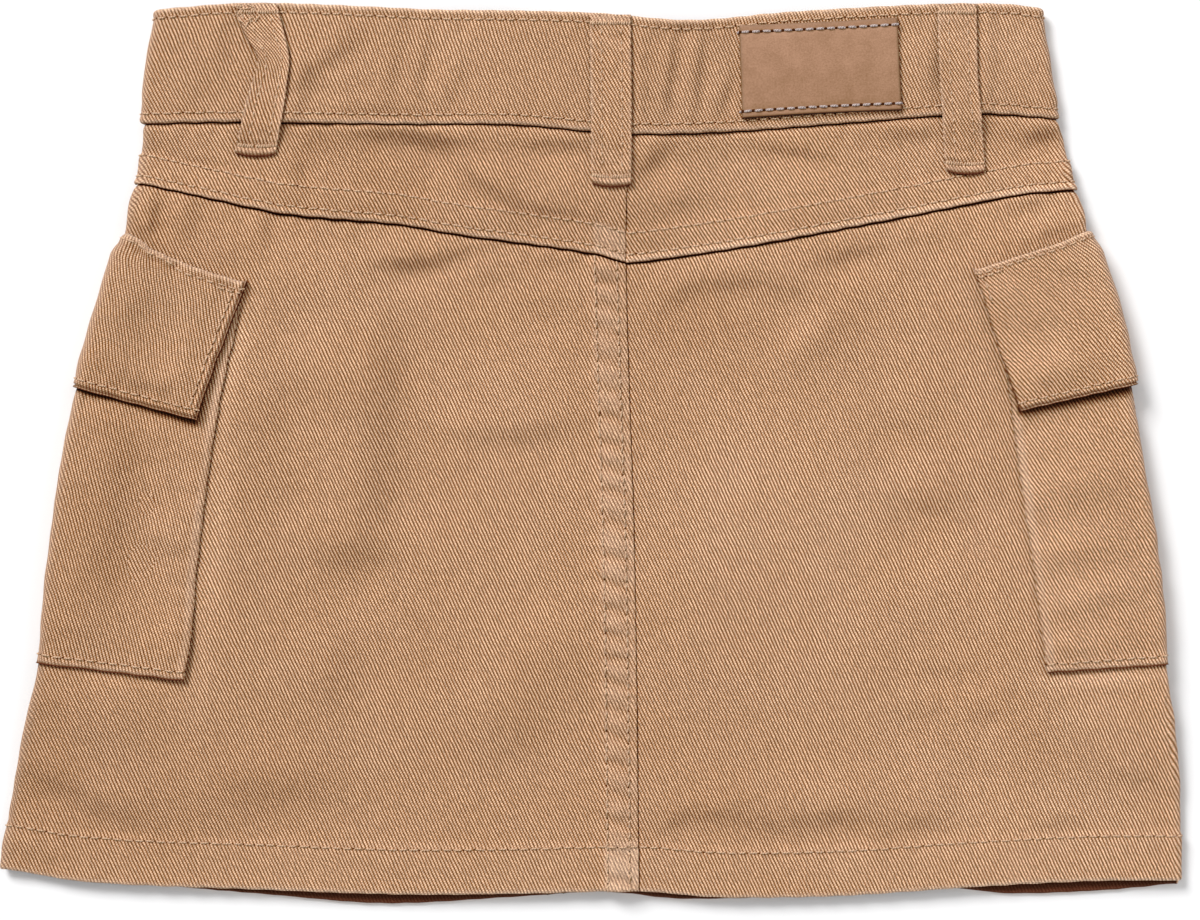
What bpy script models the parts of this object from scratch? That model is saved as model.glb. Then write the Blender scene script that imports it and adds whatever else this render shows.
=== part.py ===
"""A child's cargo utility skirt, laid flat on its front so that its back faces up.

+X runs to the right side fold, +Y to the waist and +Z up, with the surface it lies on at z = 0.
Sizes are millimetres, turned into metres where a mesh is made. Every cloth piece is a wall between
two depths, measured outward from the flat hollow that the skirt's tube encloses.
"""

import math
from typing import Callable, NamedTuple

import bmesh
import bpy

MM = 0.001
SEAM_GAP = 0.3

PANEL_WALL = 1.0
YOKE_WALL = 1.1
BAND_WALL = 1.8
POCKET_WALL = 1.0
FLAP_WALL = 1.4
LOOP_WALL = 1.2
PATCH_WALL = 1.1

HOLLOW = 1.6  # between the front and the back as they lie on each other
YOKE_STRIP = (9.0, 0.8)  # width and extra wall of the lapped strip along the yoke's lower edge
FELL_STRIP = (10.5, 0.6)  # width and extra wall of the felled seam down the middle of the back
HEM_STRIP = (14.5, 0.6)  # width and extra wall of the turned hem
EDGE_STEP = 0.8  # a strip's edge rises over this width

BUTTON_RADIUS = 7.0
BUTTON_THICK = 1.6
BUTTON_RIM = 1.4
BUTTON_DISH = 0.4
BUTTON_HOLE = (0.8, 1.9)  # radius, and distance from the button's middle

BAND_OVERLAP = 16.0  # each end of the band passes the closure's middle by this
CLOSURE_X = -6.0
BUTTON_SEAT = BUTTON_THICK + SEAM_GAP
CLOSURE_STACK = BUTTON_SEAT + BAND_WALL + SEAM_GAP
LOOP_WIDTH = 12.5
LOOP_STACK = LOOP_WALL + SEAM_GAP
FRONT_LOOPS = (("loop_front_left", -80.0), ("loop_front_right", 84.0))
LOOP_BELOW_BAND = 14.0

POCKET_DEPTH = PANEL_WALL + SEAM_GAP
FLAP_DEPTH = POCKET_DEPTH + POCKET_WALL + SEAM_GAP
FLAP_LIP = (0.14, 1.1)  # share of the flap's length that is turned under at its top, and its extra wall
SIDE_STACK = FLAP_DEPTH + FLAP_WALL - PANEL_WALL
SIDE_MARGIN = 3.0  # the cloth keeps the pockets' level this far past them
RAMP_TOP = 10.0  # and then comes down over these widths: above the flap,
RAMP_BOTTOM = 20.0  # below the pocket,
RAMP_BACK = 38.0  # inward on the back, which drapes,
RAMP_FRONT = 16.0  # and inward on the front

SEAM_ANGLE = 10.0  # the panels stop this far short of each other round a side fold
TURN_STEPS = 4


def through(*points: tuple[float, float]) -> Callable[[float], float]:
    """A smooth function that passes through (value, result) points and runs on straight past them."""
    slopes = []
    for i in range(len(points)):
        before, after = points[max(i - 1, 0)], points[min(i + 1, len(points) - 1)]
        slopes.append((after[1] - before[1]) / (after[0] - before[0]))

    def at(value: float) -> float:
        if value <= points[0][0]:
            return points[0][1] + slopes[0] * (value - points[0][0])
        for i in range(len(points) - 1):
            (x0, y0), (x1, y1) = points[i], points[i + 1]
            if value <= x1:
                span = x1 - x0
                t = (value - x0) / span
                start = y0 * (1 + 2 * t) + slopes[i] * span * t
                end = y1 * (3 - 2 * t) - slopes[i + 1] * span * (1 - t)
                return start * (1 - t) ** 2 + end * t**2
        return points[-1][1] + slopes[-1] * (value - points[-1][0])

    return at


def mix(a: float, b: float, share: float) -> float:
    return a + (b - a) * share


def ramp(past: float, width: float) -> float:
    """1 up to past = 0, then smoothly down to 0 over the width."""
    share = min(max(past / width, 0.0), 1.0)
    return 1 - share * share * (3 - 2 * share)


# Edges of the pieces, as height against x.
band_top = through((-135, 136.2), (-105, 139.4), (-45, 136.8), (0, 135.6), (29, 133.6),
                   (60, 136.1), (108, 138.7), (128, 138.9), (141, 135.6))
band_bottom = through((-139, 101.5), (-116, 102.0), (-59, 101.2), (-24, 100.9), (12, 98.0),
                      (49, 99.4), (81, 101.8), (122, 104.6), (144, 103.1))
yoke_edge_left = through((-141, 83.2), (-116, 77.8), (-95, 73.5), (-59, 70.2), (-43, 67.4),
                         (0, 61.4), (11, 58.4))
yoke_edge_right = through((11, 58.2), (24, 59.8), (49, 63.6), (97, 72.5), (133, 79.4), (149, 80.9))
hem_back = through((-182, -128.9), (-157, -133.0), (-106, -135.8), (-59, -137.8), (-23, -137.6),
                   (15, -136.8), (40, -138.5), (77, -138.0), (122, -134.9), (158, -133.6), (182, -133.5))
hem_front = through((-182, -128.6), (-137, -134.2), (-101, -137.3), (-64, -139.5), (-24, -137.8),
                    (4, -136.8), (29, -138.8), (78, -137.6), (112, -135.4), (130, -136.7),
                    (160, -135.7), (182, -133.6))

# Seams down the middle, as x against height.
back_seam = through((-137, 15.0), (-34, 13.6), (58, 10.9), (98, 11.5))
front_seam = through((-137, -11.0), (98, CLOSURE_X))


class Wrap(NamedTuple):
    """A pocket or flap that is folded round a side: heights of its edges, reach from the fold."""

    top: float
    top_inner: float
    bottom: float
    bottom_inner: float
    back_top: float
    back_bottom: float
    front_top: float
    front_bottom: float

    def height(self, down: float, share: float) -> float:
        """The height a share of the way down, at a share of the reach from the fold."""
        return mix(mix(self.top, self.top_inner, share), mix(self.bottom, self.bottom_inner, share), down)

    def reach(self, down: float, on_back: bool) -> float:
        if on_back:
            return mix(self.back_top, self.back_bottom, down)
        return mix(self.front_top, self.front_bottom, down)


class Side(NamedTuple):
    """One side of the skirt: the line its tube folds along, and what is sewn over that line."""

    name: str
    sign: int
    fold: Callable[[float], float]
    flap: Wrap
    pocket: Wrap


LEFT = Side(
    name="left", sign=-1,
    fold=through((-133, -180.7), (-107, -177.5), (-74, -171.3), (-37, -166.2), (0, -160.4),
                 (22, -155.7), (47, -148.6), (67, -142.6), (93, -137.8), (101, -136.9), (140, -131.8)),
    flap=Wrap(67.6, 52.7, 20.5, 9.6, back_top=40.8, back_bottom=36.8, front_top=33.0, front_bottom=30.0),
    pocket=Wrap(58.0, 44.0, -65.7, -71.0, back_top=41.0, back_bottom=44.7, front_top=32.5, front_bottom=36.5),
)
RIGHT = Side(
    name="right", sign=1,
    fold=through((-133, 180.2), (-107, 180.2), (-74, 177.7), (-37, 173.2), (0, 167.6),
                 (22, 164.6), (47, 158.9), (67, 152.2), (93, 145.0), (101, 142.4), (140, 136.8)),
    flap=Wrap(68.2, 56.4, 21.2, 12.7, back_top=37.5, back_bottom=32.3, front_top=41.0, front_bottom=37.0),
    pocket=Wrap(58.0, 47.0, -66.2, -68.7, back_top=35.0, back_bottom=35.8, front_top=42.5, front_bottom=44.5),
)
SIDES = (LEFT, RIGHT)


class Swell(NamedTuple):
    """A soft ridge in the back's cloth: its middle, half-lengths along and across, turn and height."""

    x: float
    y: float
    along: float
    across: float
    turn: float
    height: float

    def at(self, x: float, y: float) -> float:
        turn = math.radians(self.turn)
        dx, dy = x - self.x, y - self.y
        along = dx * math.cos(turn) + dy * math.sin(turn)
        across = dy * math.cos(turn) - dx * math.sin(turn)
        return self.height * math.exp(-((along / self.along) ** 2 + (across / self.across) ** 2))


SWELLS = (
    Swell(-77, 8, along=44, across=14, turn=92, height=1.4),
    Swell(-30, 20, along=32, across=14, turn=-6, height=1.3),
    Swell(-20, -62, along=40, across=17, turn=28, height=1.2),
    Swell(-88, -66, along=26, across=15, turn=70, height=1.1),
    Swell(-112, -104, along=34, across=11, turn=12, height=1.0),
    Swell(72, 40, along=24, across=8, turn=41, height=1.3),
    Swell(50, 4, along=42, across=20, turn=8, height=1.6),
    Swell(90, -56, along=24, across=15, turn=60, height=1.1),
    Swell(62, -108, along=46, across=9, turn=0, height=1.1),
    Swell(30, -60, along=30, across=16, turn=80, height=0.9),
)


def side_rise(x: float, y: float, on_back: bool) -> float:
    """What the pocket and flap of a side, which lie underneath too, lift the cloth by."""
    side = LEFT if x < 0 else RIGHT
    inward = side.sign * (side.fold(y) - x)
    flap, pocket = side.flap, side.pocket
    down = min(max((flap.top - y) / (flap.top - pocket.bottom), 0.0), 1.0)
    reach = mix(flap.reach(0, on_back), pocket.reach(1, on_back), down)
    share = min(max(inward / reach, 0.0), 1.4)
    past_inner = (inward - reach - SIDE_MARGIN) / (RAMP_BACK if on_back else RAMP_FRONT)
    past_top = (y - flap.height(0, share) - SIDE_MARGIN) / RAMP_TOP
    past_bottom = (pocket.height(1, share) - y - SIDE_MARGIN) / RAMP_BOTTOM
    return SIDE_STACK * ramp(math.hypot(max(past_inner, 0), max(past_top, 0), max(past_bottom, 0)), 1.0)


def band_rise(x: float, y: float) -> float:
    """The band is thicker than the panels, so it holds the cloth below it up a little."""
    return (BAND_WALL - PANEL_WALL) * ramp(band_bottom(x) - y, 10.0)


def trim_rise(x: float, y: float, closure: float, spread: float) -> float:
    """What the closure and the front belt loops, which lie underneath, lift the cloth by."""
    lumps = [closure * ramp(abs(x - CLOSURE_X) - BAND_OVERLAP, spread)]
    lumps += [LOOP_STACK * ramp(abs(x - place) - LOOP_WIDTH, spread) for _, place in FRONT_LOOPS]
    return max(lumps) * ramp(band_bottom(x) - LOOP_BELOW_BAND - 2 - y, 24.0)


def front_face(x: float, y: float) -> float:
    """Height of the front's inner face."""
    closure = CLOSURE_STACK if y > band_bottom(x) - SEAM_GAP / 2 else BUTTON_SEAT
    return PANEL_WALL + side_rise(x, y, False) + band_rise(x, y) + trim_rise(x, y, closure, 14.0)


def back_face(x: float, y: float) -> float:
    """Height of the back's inner face, which drapes over what the front's follows closely."""
    level = PANEL_WALL + HOLLOW + max(side_rise(x, y, True), side_rise(x, y, False))
    swells = sum(swell.at(x, y) for swell in SWELLS)
    return level + band_rise(x, y) + trim_rise(x, y, CLOSURE_STACK, 42.0) + swells


class Column(NamedTuple):
    """A line of points down the cloth. turn is 0 on the back, 180 on the front, and between on a fold."""

    x_at: Callable[[float], float]
    turn: float
    sign: int = 1
    extra: float = 0.0
    inset: float = 0.0


class Row(NamedTuple):
    """A line of points across the cloth, with what it adds to the wall outward and inward."""

    y_at: Callable[[float], float]
    outward: float = 0.0
    inward: float = 0.0


def at_height(column: Column, y: float, depth: float) -> tuple[float, float, float]:
    """The point of a column at a height, a depth outward from the skirt's hollow."""
    x = column.x_at(y)
    back, front = back_face(x, y), front_face(x, y)
    reach = (back - front) / 2 + depth
    angle = math.radians(column.turn)
    return x + column.sign * reach * math.sin(angle), y, (back + front) / 2 + reach * math.cos(angle)


def meet(column: Column, row: Row) -> float:
    """The height where a column crosses a row."""
    y = row.y_at(column.x_at(0.0))
    for _ in range(8):
        y = row.y_at(column.x_at(y))
    return y


def finish(name: str, colour: tuple[float, float, float], roughness: float) -> bpy.types.Material:
    material = bpy.data.materials.new(name)
    material.use_nodes = True
    shader = material.node_tree.nodes["Principled BSDF"]
    shader.inputs["Base Color"].default_value = (*colour, 1.0)
    shader.inputs["Roughness"].default_value = roughness
    shader.inputs["Metallic"].default_value = 0.0
    material.diffuse_color = (*colour, 1.0)
    return material


def add_object(name: str, mesh: bpy.types.Mesh, material: bpy.types.Material) -> bpy.types.Object:
    mesh.materials.append(material)
    mesh.shade_smooth()
    mesh.set_sharp_from_angle(angle=math.radians(40))
    thing = bpy.data.objects.new(name, mesh)
    bpy.context.scene.collection.objects.link(thing)
    return thing


def wall_mesh(name: str, inner: list[list[tuple]], outer: list[list[tuple]]) -> bpy.types.Mesh:
    """A closed wall between two grids of points, a list of rows each."""
    work = bmesh.new()
    faces = [[[work.verts.new([c * MM for c in point]) for point in row] for row in grid]
             for grid in (outer, inner)]
    last_row, last_column = len(outer) - 1, len(outer[0]) - 1
    for grid in faces:
        for r in range(last_row):
            for c in range(last_column):
                work.faces.new((grid[r][c], grid[r + 1][c], grid[r + 1][c + 1], grid[r][c + 1]))
    rim = [(0, c) for c in range(last_column)] + [(r, last_column) for r in range(last_row)]
    rim += [(last_row, c) for c in range(last_column, 0, -1)] + [(r, 0) for r in range(last_row, 0, -1)]
    for here, there in zip(rim, rim[1:] + rim[:1]):
        top, below = faces
        work.faces.new((top[here[0]][here[1]], top[there[0]][there[1]],
                        below[there[0]][there[1]], below[here[0]][here[1]]))
    bmesh.ops.recalc_face_normals(work, faces=work.faces[:])
    mesh = bpy.data.meshes.new(name)
    work.to_mesh(mesh)
    work.free()
    return mesh


def cloth(name: str, columns: list[Column], rows: list[Row], wall: float,
          material: bpy.types.Material, depth: float = 0.0) -> bpy.types.Object:
    """One cut piece of cloth, on the skirt's form."""
    inner, outer = [], []
    for row in rows:
        heights = [meet(column, row) for column in columns]
        inner.append([at_height(column, y, depth + column.inset - row.inward)
                      for column, y in zip(columns, heights)])
        outer.append([at_height(column, y, depth + column.inset + wall + row.outward + column.extra)
                      for column, y in zip(columns, heights)])
    return add_object(name, wall_mesh(name, inner, outer), material)


def spaced(start: float, end: float, pitch: float) -> list[float]:
    """Values from start to end, both included, at about this pitch."""
    steps = max(1, round(abs(end - start) / pitch))
    return [mix(start, end, i / steps) for i in range(steps + 1)]


def upright(x: float) -> Callable[[float], float]:
    return lambda y: x


def beside(line: Callable[[float], float], offset: float) -> Callable[[float], float]:
    return lambda value: line(value) + offset


def between(a: Callable[[float], float], b: Callable[[float], float], share: float) -> Callable[[float], float]:
    return lambda value: mix(a(value), b(value), share)


def fold_columns(side: Side, first: float, last: float) -> list[Column]:
    """Columns round a side fold from one turn to another."""
    steps = round(TURN_STEPS * abs(last - first) / 90)
    return [Column(side.fold, mix(first, last, i / steps), side.sign) for i in range(steps + 1)]


def inner_line(side: Side, on_back: bool, past: float) -> Callable[[float], float]:
    """x against height, this far past the inner edges of a side's pocket and flap."""
    def x_at(y: float) -> float:
        down = (side.flap.top - y) / (side.flap.top - side.pocket.bottom)
        reach = mix(side.flap.reach(0, on_back), side.pocket.reach(1, on_back), down)
        return side.fold(y) - side.sign * (reach + past)

    return x_at


def half_columns(side: Side, seam: Callable[[float], float], on_back: bool, strip: float,
                 cells: int) -> list[Column]:
    """Columns of a half panel from its middle seam to its side seam; strip is the felled wall there."""
    turn = 0.0 if on_back else 180.0
    near = beside(seam, side.sign * SEAM_GAP / 2)
    columns = [Column(near, turn, side.sign, strip)]
    if strip:
        for width, extra in ((FELL_STRIP[0], strip), (FELL_STRIP[0] + EDGE_STEP, 0.0)):
            columns.append(Column(beside(near, side.sign * width), turn, side.sign, extra))
    foot = inner_line(side, on_back, SIDE_MARGIN + (RAMP_BACK if on_back else RAMP_FRONT))
    crown = inner_line(side, on_back, SIDE_MARGIN)
    start = columns[-1].x_at
    for i in range(1, cells + 1):
        columns.append(Column(between(start, foot, i / cells), turn, side.sign))
    for share in (0.3, 0.5, 0.7, 1.0):
        columns.append(Column(between(foot, crown, share), turn, side.sign))
    for share in (0.34, 0.67):
        columns.append(Column(between(crown, side.fold, share), turn, side.sign))
    end = 90 - SEAM_ANGLE if on_back else 90 + SEAM_ANGLE
    return columns + fold_columns(side, turn, end)


def panel_rows(side: Side, on_back: bool, top: Callable[[float], float],
               hem: Callable[[float], float]) -> list[Row]:
    """Rows of a panel: along the pocket's and flap's edges at the side, level in the middle."""
    def side_line(past: float, down: float) -> Callable[[float], float]:
        wrap = side.flap if down == 0 else side.pocket

        def y_at(x: float) -> float:
            level = wrap.height(down, 0)
            inward = max(side.sign * (side.fold(level) - x), 0.0)
            reach = wrap.reach(down, on_back) + SIDE_MARGIN + RAMP_FRONT
            share = min(inward, reach) / wrap.reach(down, on_back)
            middle = mix(wrap.height(down, 1.2), wrap.height(down, 0), 0.5 * down)
            fade = min(max((inward - reach) / (abs(side.fold(level)) - reach), 0.0), 1.0)
            return mix(wrap.height(down, share), middle, fade) + past

        return y_at

    hem_start = beside(hem, HEM_STRIP[0] + EDGE_STEP)
    keys = [(side_line(SIDE_MARGIN, 0), 4), (side_line(-SIDE_MARGIN, 1), 10 if on_back else 6),
            (side_line(-SIDE_MARGIN - RAMP_BOTTOM, 1), 4), (hem_start, 2)]
    if not on_back:
        drops = (5.0, 10.0, LOOP_BELOW_BAND + 2)
        keys = [(beside(band_bottom, -drop), 1) for drop in drops] + [
            (side_line(SIDE_MARGIN + RAMP_TOP, 0), 2)] + keys
    rows = [Row(top)]
    above = top
    for below, steps in keys:
        rows += [Row(between(above, below, i / steps)) for i in range(1, steps + 1)]
        above = below
    outward, inward = (HEM_STRIP[1], 0.0) if on_back else (0.0, HEM_STRIP[1])
    rows.append(Row(beside(hem, HEM_STRIP[0]), outward, inward))
    rows.append(Row(hem, outward, inward))
    return rows


def make_panels(material: bpy.types.Material) -> None:
    for side, edge in ((LEFT, yoke_edge_left), (RIGHT, yoke_edge_right)):
        strip = FELL_STRIP[1] if side is LEFT else 0.0
        columns = half_columns(side, back_seam, True, strip, cells=9)
        rows = panel_rows(side, True, beside(edge, -SEAM_GAP), hem_back)
        cloth(f"back_{side.name}", columns, rows, PANEL_WALL, material)
        columns = half_columns(side, front_seam, False, 0.0, cells=5)
        rows = panel_rows(side, False, beside(band_bottom, -SEAM_GAP), hem_front)
        cloth(f"front_{side.name}", columns, rows, PANEL_WALL, material)


def make_yokes(material: bpy.types.Material) -> None:
    for side, edge in ((LEFT, yoke_edge_left), (RIGHT, yoke_edge_right)):
        strip = FELL_STRIP[1] if side is LEFT else 0.0
        columns = half_columns(side, back_seam, True, strip, cells=9)
        top = beside(band_bottom, -SEAM_GAP)
        strip_start = beside(edge, YOKE_STRIP[0] + EDGE_STEP)
        rows = [Row(between(top, strip_start, share)) for share in (0.0, 0.33, 0.67, 1.0)]
        rows += [Row(beside(edge, YOKE_STRIP[0] * share), YOKE_STRIP[1]) for share in (1.0, 0.67, 0.33, 0.0)]
        cloth(f"yoke_{side.name}", columns, rows, YOKE_WALL, material)


def outer_end_inset(x: float) -> float:
    """The band's outer end lies this much further out than its inner end, which it covers."""
    inner_end = CLOSURE_STACK * ramp(abs(x - CLOSURE_X) - BAND_OVERLAP, 14.0)
    loops = [LOOP_STACK * ramp(abs(x - place) - LOOP_WIDTH, 14.0) for _, place in FRONT_LOOPS]
    outer_end = BUTTON_SEAT * ramp(abs(x - CLOSURE_X) - BUTTON_RADIUS - 2, 14.0)
    return max(inner_end, *loops) - max(outer_end, *loops)


def make_band(material: bpy.types.Material) -> None:
    """One strip: from its outer end at the closure, left, across the back, and on to its inner end."""
    pitch = 9.0
    middle = (band_bottom(0) + band_top(0)) / 2
    columns = []
    for x in spaced(CLOSURE_X + BAND_OVERLAP - 4, LEFT.fold(middle), pitch)[:-1]:
        columns.append(Column(upright(x), 180, LEFT.sign, inset=outer_end_inset(x)))
    columns += fold_columns(LEFT, 180, 0)
    for share in spaced(0, 1, pitch / (RIGHT.fold(middle) - LEFT.fold(middle)))[1:-1]:
        columns.append(Column(between(LEFT.fold, RIGHT.fold, share), 0))
    columns += fold_columns(RIGHT, 0, 180)
    for x in spaced(RIGHT.fold(middle), CLOSURE_X - BAND_OVERLAP, pitch)[1:]:
        columns.append(Column(upright(x), 180))
    rows = [Row(between(band_top, band_bottom, share)) for share in (0.04, 0.35, 0.7, 1.0)]
    rows.insert(0, Row(band_top, outward=-0.5, inward=-0.5))
    cloth("waistband", columns, rows, BAND_WALL, material)


def wrap_columns(side: Side, wrap: Wrap, cells: int) -> list[Column]:
    """Columns of a pocket or flap from its inner edge on the back, round the fold, to that on the front."""
    def x_at(share: float, on_back: bool) -> Callable[[float], float]:
        def place(y: float) -> float:
            length = wrap.height(0, share) - wrap.height(1, share)
            down = (wrap.height(0, share) - y) / length
            return side.fold(y) - side.sign * share * wrap.reach(down, on_back)

        return place

    back = [Column(x_at(1 - i / cells, True), 0, side.sign) for i in range(cells)]
    front = [Column(x_at(1 - i / cells, False), 180, side.sign) for i in range(cells)]
    return back + fold_columns(side, 0, 180) + front[::-1]


def make_wraps(pocket_material: bpy.types.Material, flap_material: bpy.types.Material) -> None:
    cells = 4
    for side in SIDES:
        for kind, wrap, depth, wall, material, steps in (
            ("pocket", side.pocket, POCKET_DEPTH, POCKET_WALL, pocket_material, 8),
            ("flap", side.flap, FLAP_DEPTH, FLAP_WALL, flap_material, 4),
        ):
            columns = wrap_columns(side, wrap, cells)
            shares = [min(abs(i - cells), 1) and abs(1 - i / cells) for i in range(cells)]
            shares += [0.0] * (len(columns) - 2 * cells) + shares[::-1]
            downs = [i / steps for i in range(steps + 1)]
            if kind == "flap":
                downs[1:1] = [FLAP_LIP[0], FLAP_LIP[0] + 0.03]
            inner, outer = [], []
            for down in downs:
                heights = [wrap.height(down, share) for share in shares]
                root = depth - (FLAP_LIP[1] if kind == "flap" and down <= FLAP_LIP[0] else 0.0)
                inner.append([at_height(c, y, root) for c, y in zip(columns, heights)])
                outer.append([at_height(c, y, depth + wall) for c, y in zip(columns, heights)])
            name = f"{kind}_{side.name}"
            add_object(name, wall_mesh(name, inner, outer), material)


class LoopRow(NamedTuple):
    """A section across a belt loop: its height, its edges, and how far each stands off the cloth."""

    y: float
    left: float
    right: float
    lift_left: float
    lift_right: float


BACK_LOOPS = {
    "loop_back_left": (
        LoopRow(138.2, -109.4, -97.0, 0.0, 0.0), LoopRow(134.5, -109.2, -96.2, 0.2, 0.2),
        LoopRow(129.0, -107.4, -94.8, 1.2, 0.5), LoopRow(121.2, -103.2, -93.3, 2.4, 0.4),
        LoopRow(113.5, -105.2, -94.1, 1.9, 0.5), LoopRow(106.6, -107.3, -95.0, 1.2, 0.6),
        LoopRow(100.5, -108.5, -96.1, 0.9, 0.6), LoopRow(95.0, -109.9, -97.1, 0.2, 0.2),
        LoopRow(91.5, -110.7, -97.7, 0.0, 0.0),
    ),
    "loop_back_center": (
        LoopRow(134.6, -0.3, 12.4, 0.0, 0.0), LoopRow(130.5, -0.3, 12.4, 0.3, 0.3),
        LoopRow(122.0, -0.2, 12.5, 1.0, 1.0), LoopRow(110.0, -0.1, 12.6, 1.2, 1.2),
        LoopRow(100.0, 0.0, 12.6, 0.9, 0.9), LoopRow(94.0, 0.0, 12.6, 0.5, 0.5),
        LoopRow(86.0, 0.1, 12.6, 0.1, 0.1), LoopRow(81.8, 0.1, 12.6, 0.0, 0.0),
    ),
    "loop_back_right": (
        LoopRow(137.4, 107.3, 119.6, 0.0, 0.0), LoopRow(133.0, 107.4, 119.6, 0.8, 0.5),
        LoopRow(125.0, 107.6, 119.7, 1.4, 1.2), LoopRow(115.9, 108.0, 119.9, 1.3, 1.3),
        LoopRow(105.7, 108.7, 120.9, 0.9, 0.9), LoopRow(97.0, 109.2, 121.7, 0.5, 0.5),
        LoopRow(90.0, 109.7, 122.3, 0.1, 0.1), LoopRow(86.0, 110.2, 122.2, 0.0, 0.0),
    ),
}


def loop_seat(x: float, y: float) -> float:
    """Height where a belt loop lies on the band and, stepped down softly, on the yoke."""
    edge = yoke_edge_left(x) if x < 11 else yoke_edge_right(x)
    felled = FELL_STRIP[1] * ramp(abs(x - 6) - 8, 4.0)
    strip = YOKE_STRIP[1] * ramp(y - edge - YOKE_STRIP[0] - EDGE_STEP, 3.0)
    on_band = ramp(band_bottom(x) - 1.0 - y, 6.0)
    return back_face(x, y) + mix(YOKE_WALL + max(felled, strip), BAND_WALL, on_band) + SEAM_GAP


def make_back_loops(material: bpy.types.Material) -> None:
    for name, rows in BACK_LOOPS.items():
        inner, outer = [], []
        for row in rows:
            line = []
            for share in (0.0, 0.5, 1.0):
                x = mix(row.left, row.right, share)
                z = loop_seat(x, row.y) + mix(row.lift_left, row.lift_right, share)
                line.append((x, row.y, z))
            inner.append(line)
            outer.append([(x, y, z + LOOP_WALL) for x, y, z in line])
        add_object(name, wall_mesh(name, inner, outer), material)


def make_front_loops(material: bpy.types.Material) -> None:
    """Flat straps under the band, which lie on the surface."""
    for name, middle in FRONT_LOOPS:
        top, bottom = band_top(middle) - 1.5, band_bottom(middle) - LOOP_BELOW_BAND
        xs = [middle + LOOP_WIDTH * share for share in (-0.5, -0.44, 0.44, 0.5)]
        inset = [0.3, 0.0, 0.0, 0.3]
        inner, outer = [], []
        for y in spaced(top, bottom, 8.0):
            inner.append([(x, y, LOOP_WALL - edge) for x, edge in zip(xs, inset)])
            outer.append([(x, y, edge) for x, edge in zip(xs, inset)])
        add_object(name, wall_mesh(name, inner, outer), material)


PATCH_CORNERS = ((45.9, 131.9), (94.9, 134.2), (46.8, 102.9), (96.3, 105.4))


def make_patch(material: bpy.types.Material) -> None:
    """A bare leather patch sewn on the band."""
    (tl, tr, bl, br) = PATCH_CORNERS
    inner, outer = [], []
    for down in (0.0, 0.02, 0.25, 0.5, 0.75, 0.98, 1.0):
        below, above = [], []
        for across in (0.0, 0.012, 0.2, 0.4, 0.6, 0.8, 0.988, 1.0):
            x = mix(mix(tl[0], tr[0], across), mix(bl[0], br[0], across), down)
            y = mix(mix(tl[1], tr[1], across), mix(bl[1], br[1], across), down)
            seat = back_face(x, y) + BAND_WALL + SEAM_GAP
            soft = 0.35 if down in (0.0, 1.0) or across in (0.0, 1.0) else 0.0
            below.append((x, y, seat))
            above.append((x, y, seat + PATCH_WALL - soft))
        inner.append(below)
        outer.append(above)
    add_object("patch", wall_mesh("patch", inner, outer), material)


def make_button(material: bpy.types.Material) -> None:
    """A four-hole button on the closure, its dished face down."""
    work = bmesh.new()
    floor = BUTTON_RADIUS - BUTTON_RIM
    profile = [(0.0, BUTTON_THICK), (BUTTON_RADIUS - 0.4, BUTTON_THICK), (BUTTON_RADIUS, BUTTON_THICK - 0.4),
               (BUTTON_RADIUS, 0.4), (BUTTON_RADIUS - 0.4, 0.0), (floor + 0.3, 0.0),
               (floor, BUTTON_DISH), (0.0, BUTTON_DISH)]
    verts = [work.verts.new((r * MM, 0, z * MM)) for r, z in profile]
    edges = [work.edges.new(pair) for pair in zip(verts, verts[1:])]
    bmesh.ops.spin(work, geom=verts + edges, cent=(0, 0, 0), axis=(0, 0, 1), angle=math.tau,
                   steps=28, use_merge=True)
    bmesh.ops.remove_doubles(work, verts=work.verts[:], dist=1e-6)
    bmesh.ops.recalc_face_normals(work, faces=work.faces[:])
    mesh = bpy.data.meshes.new("button")
    work.to_mesh(mesh)
    work.free()
    button = add_object("button", mesh, material)
    button.location = (CLOSURE_X * MM, (band_top(CLOSURE_X) + band_bottom(CLOSURE_X)) / 2 * MM, 0)
    for i in range(4):
        cutter_mesh = bpy.data.meshes.new(f"button_hole_{i}")
        work = bmesh.new()
        bmesh.ops.create_cone(work, cap_ends=True, segments=8, radius1=BUTTON_HOLE[0] * MM,
                              radius2=BUTTON_HOLE[0] * MM, depth=4 * BUTTON_THICK * MM)
        work.to_mesh(cutter_mesh)
        work.free()
        cutter = bpy.data.objects.new(f"button_hole_{i}", cutter_mesh)
        bpy.context.scene.collection.objects.link(cutter)
        turn = math.radians(45 + 90 * i)
        cutter.parent = button
        cutter.location = (BUTTON_HOLE[1] * MM * math.cos(turn), BUTTON_HOLE[1] * MM * math.sin(turn), 0)
        cutter.hide_render = True
        cutter.display_type = "WIRE"
        hole = button.modifiers.new(f"hole_{i}", "BOOLEAN")
        hole.object = cutter
        hole.operation = "DIFFERENCE"


def main() -> None:
    for thing in list(bpy.data.objects):
        bpy.data.objects.remove(thing, do_unlink=True)
    twill = (0.50, 0.29, 0.165)
    make_panels(finish("panel_twill", twill, 0.85))
    make_yokes(finish("yoke_twill", (0.47, 0.27, 0.15), 0.85))
    make_band(finish("band_twill", (0.51, 0.29, 0.165), 0.85))
    make_wraps(finish("pocket_twill", (0.48, 0.27, 0.155), 0.85), finish("flap_twill", (0.53, 0.31, 0.18), 0.85))
    loop_twill = finish("loop_twill", (0.52, 0.31, 0.18), 0.85)
    make_back_loops(loop_twill)
    make_front_loops(loop_twill)
    make_patch(finish("patch_leather", (0.39, 0.21, 0.12), 0.6))
    make_button(finish("button_plastic", (0.30, 0.18, 0.10), 0.4))


main()
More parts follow.
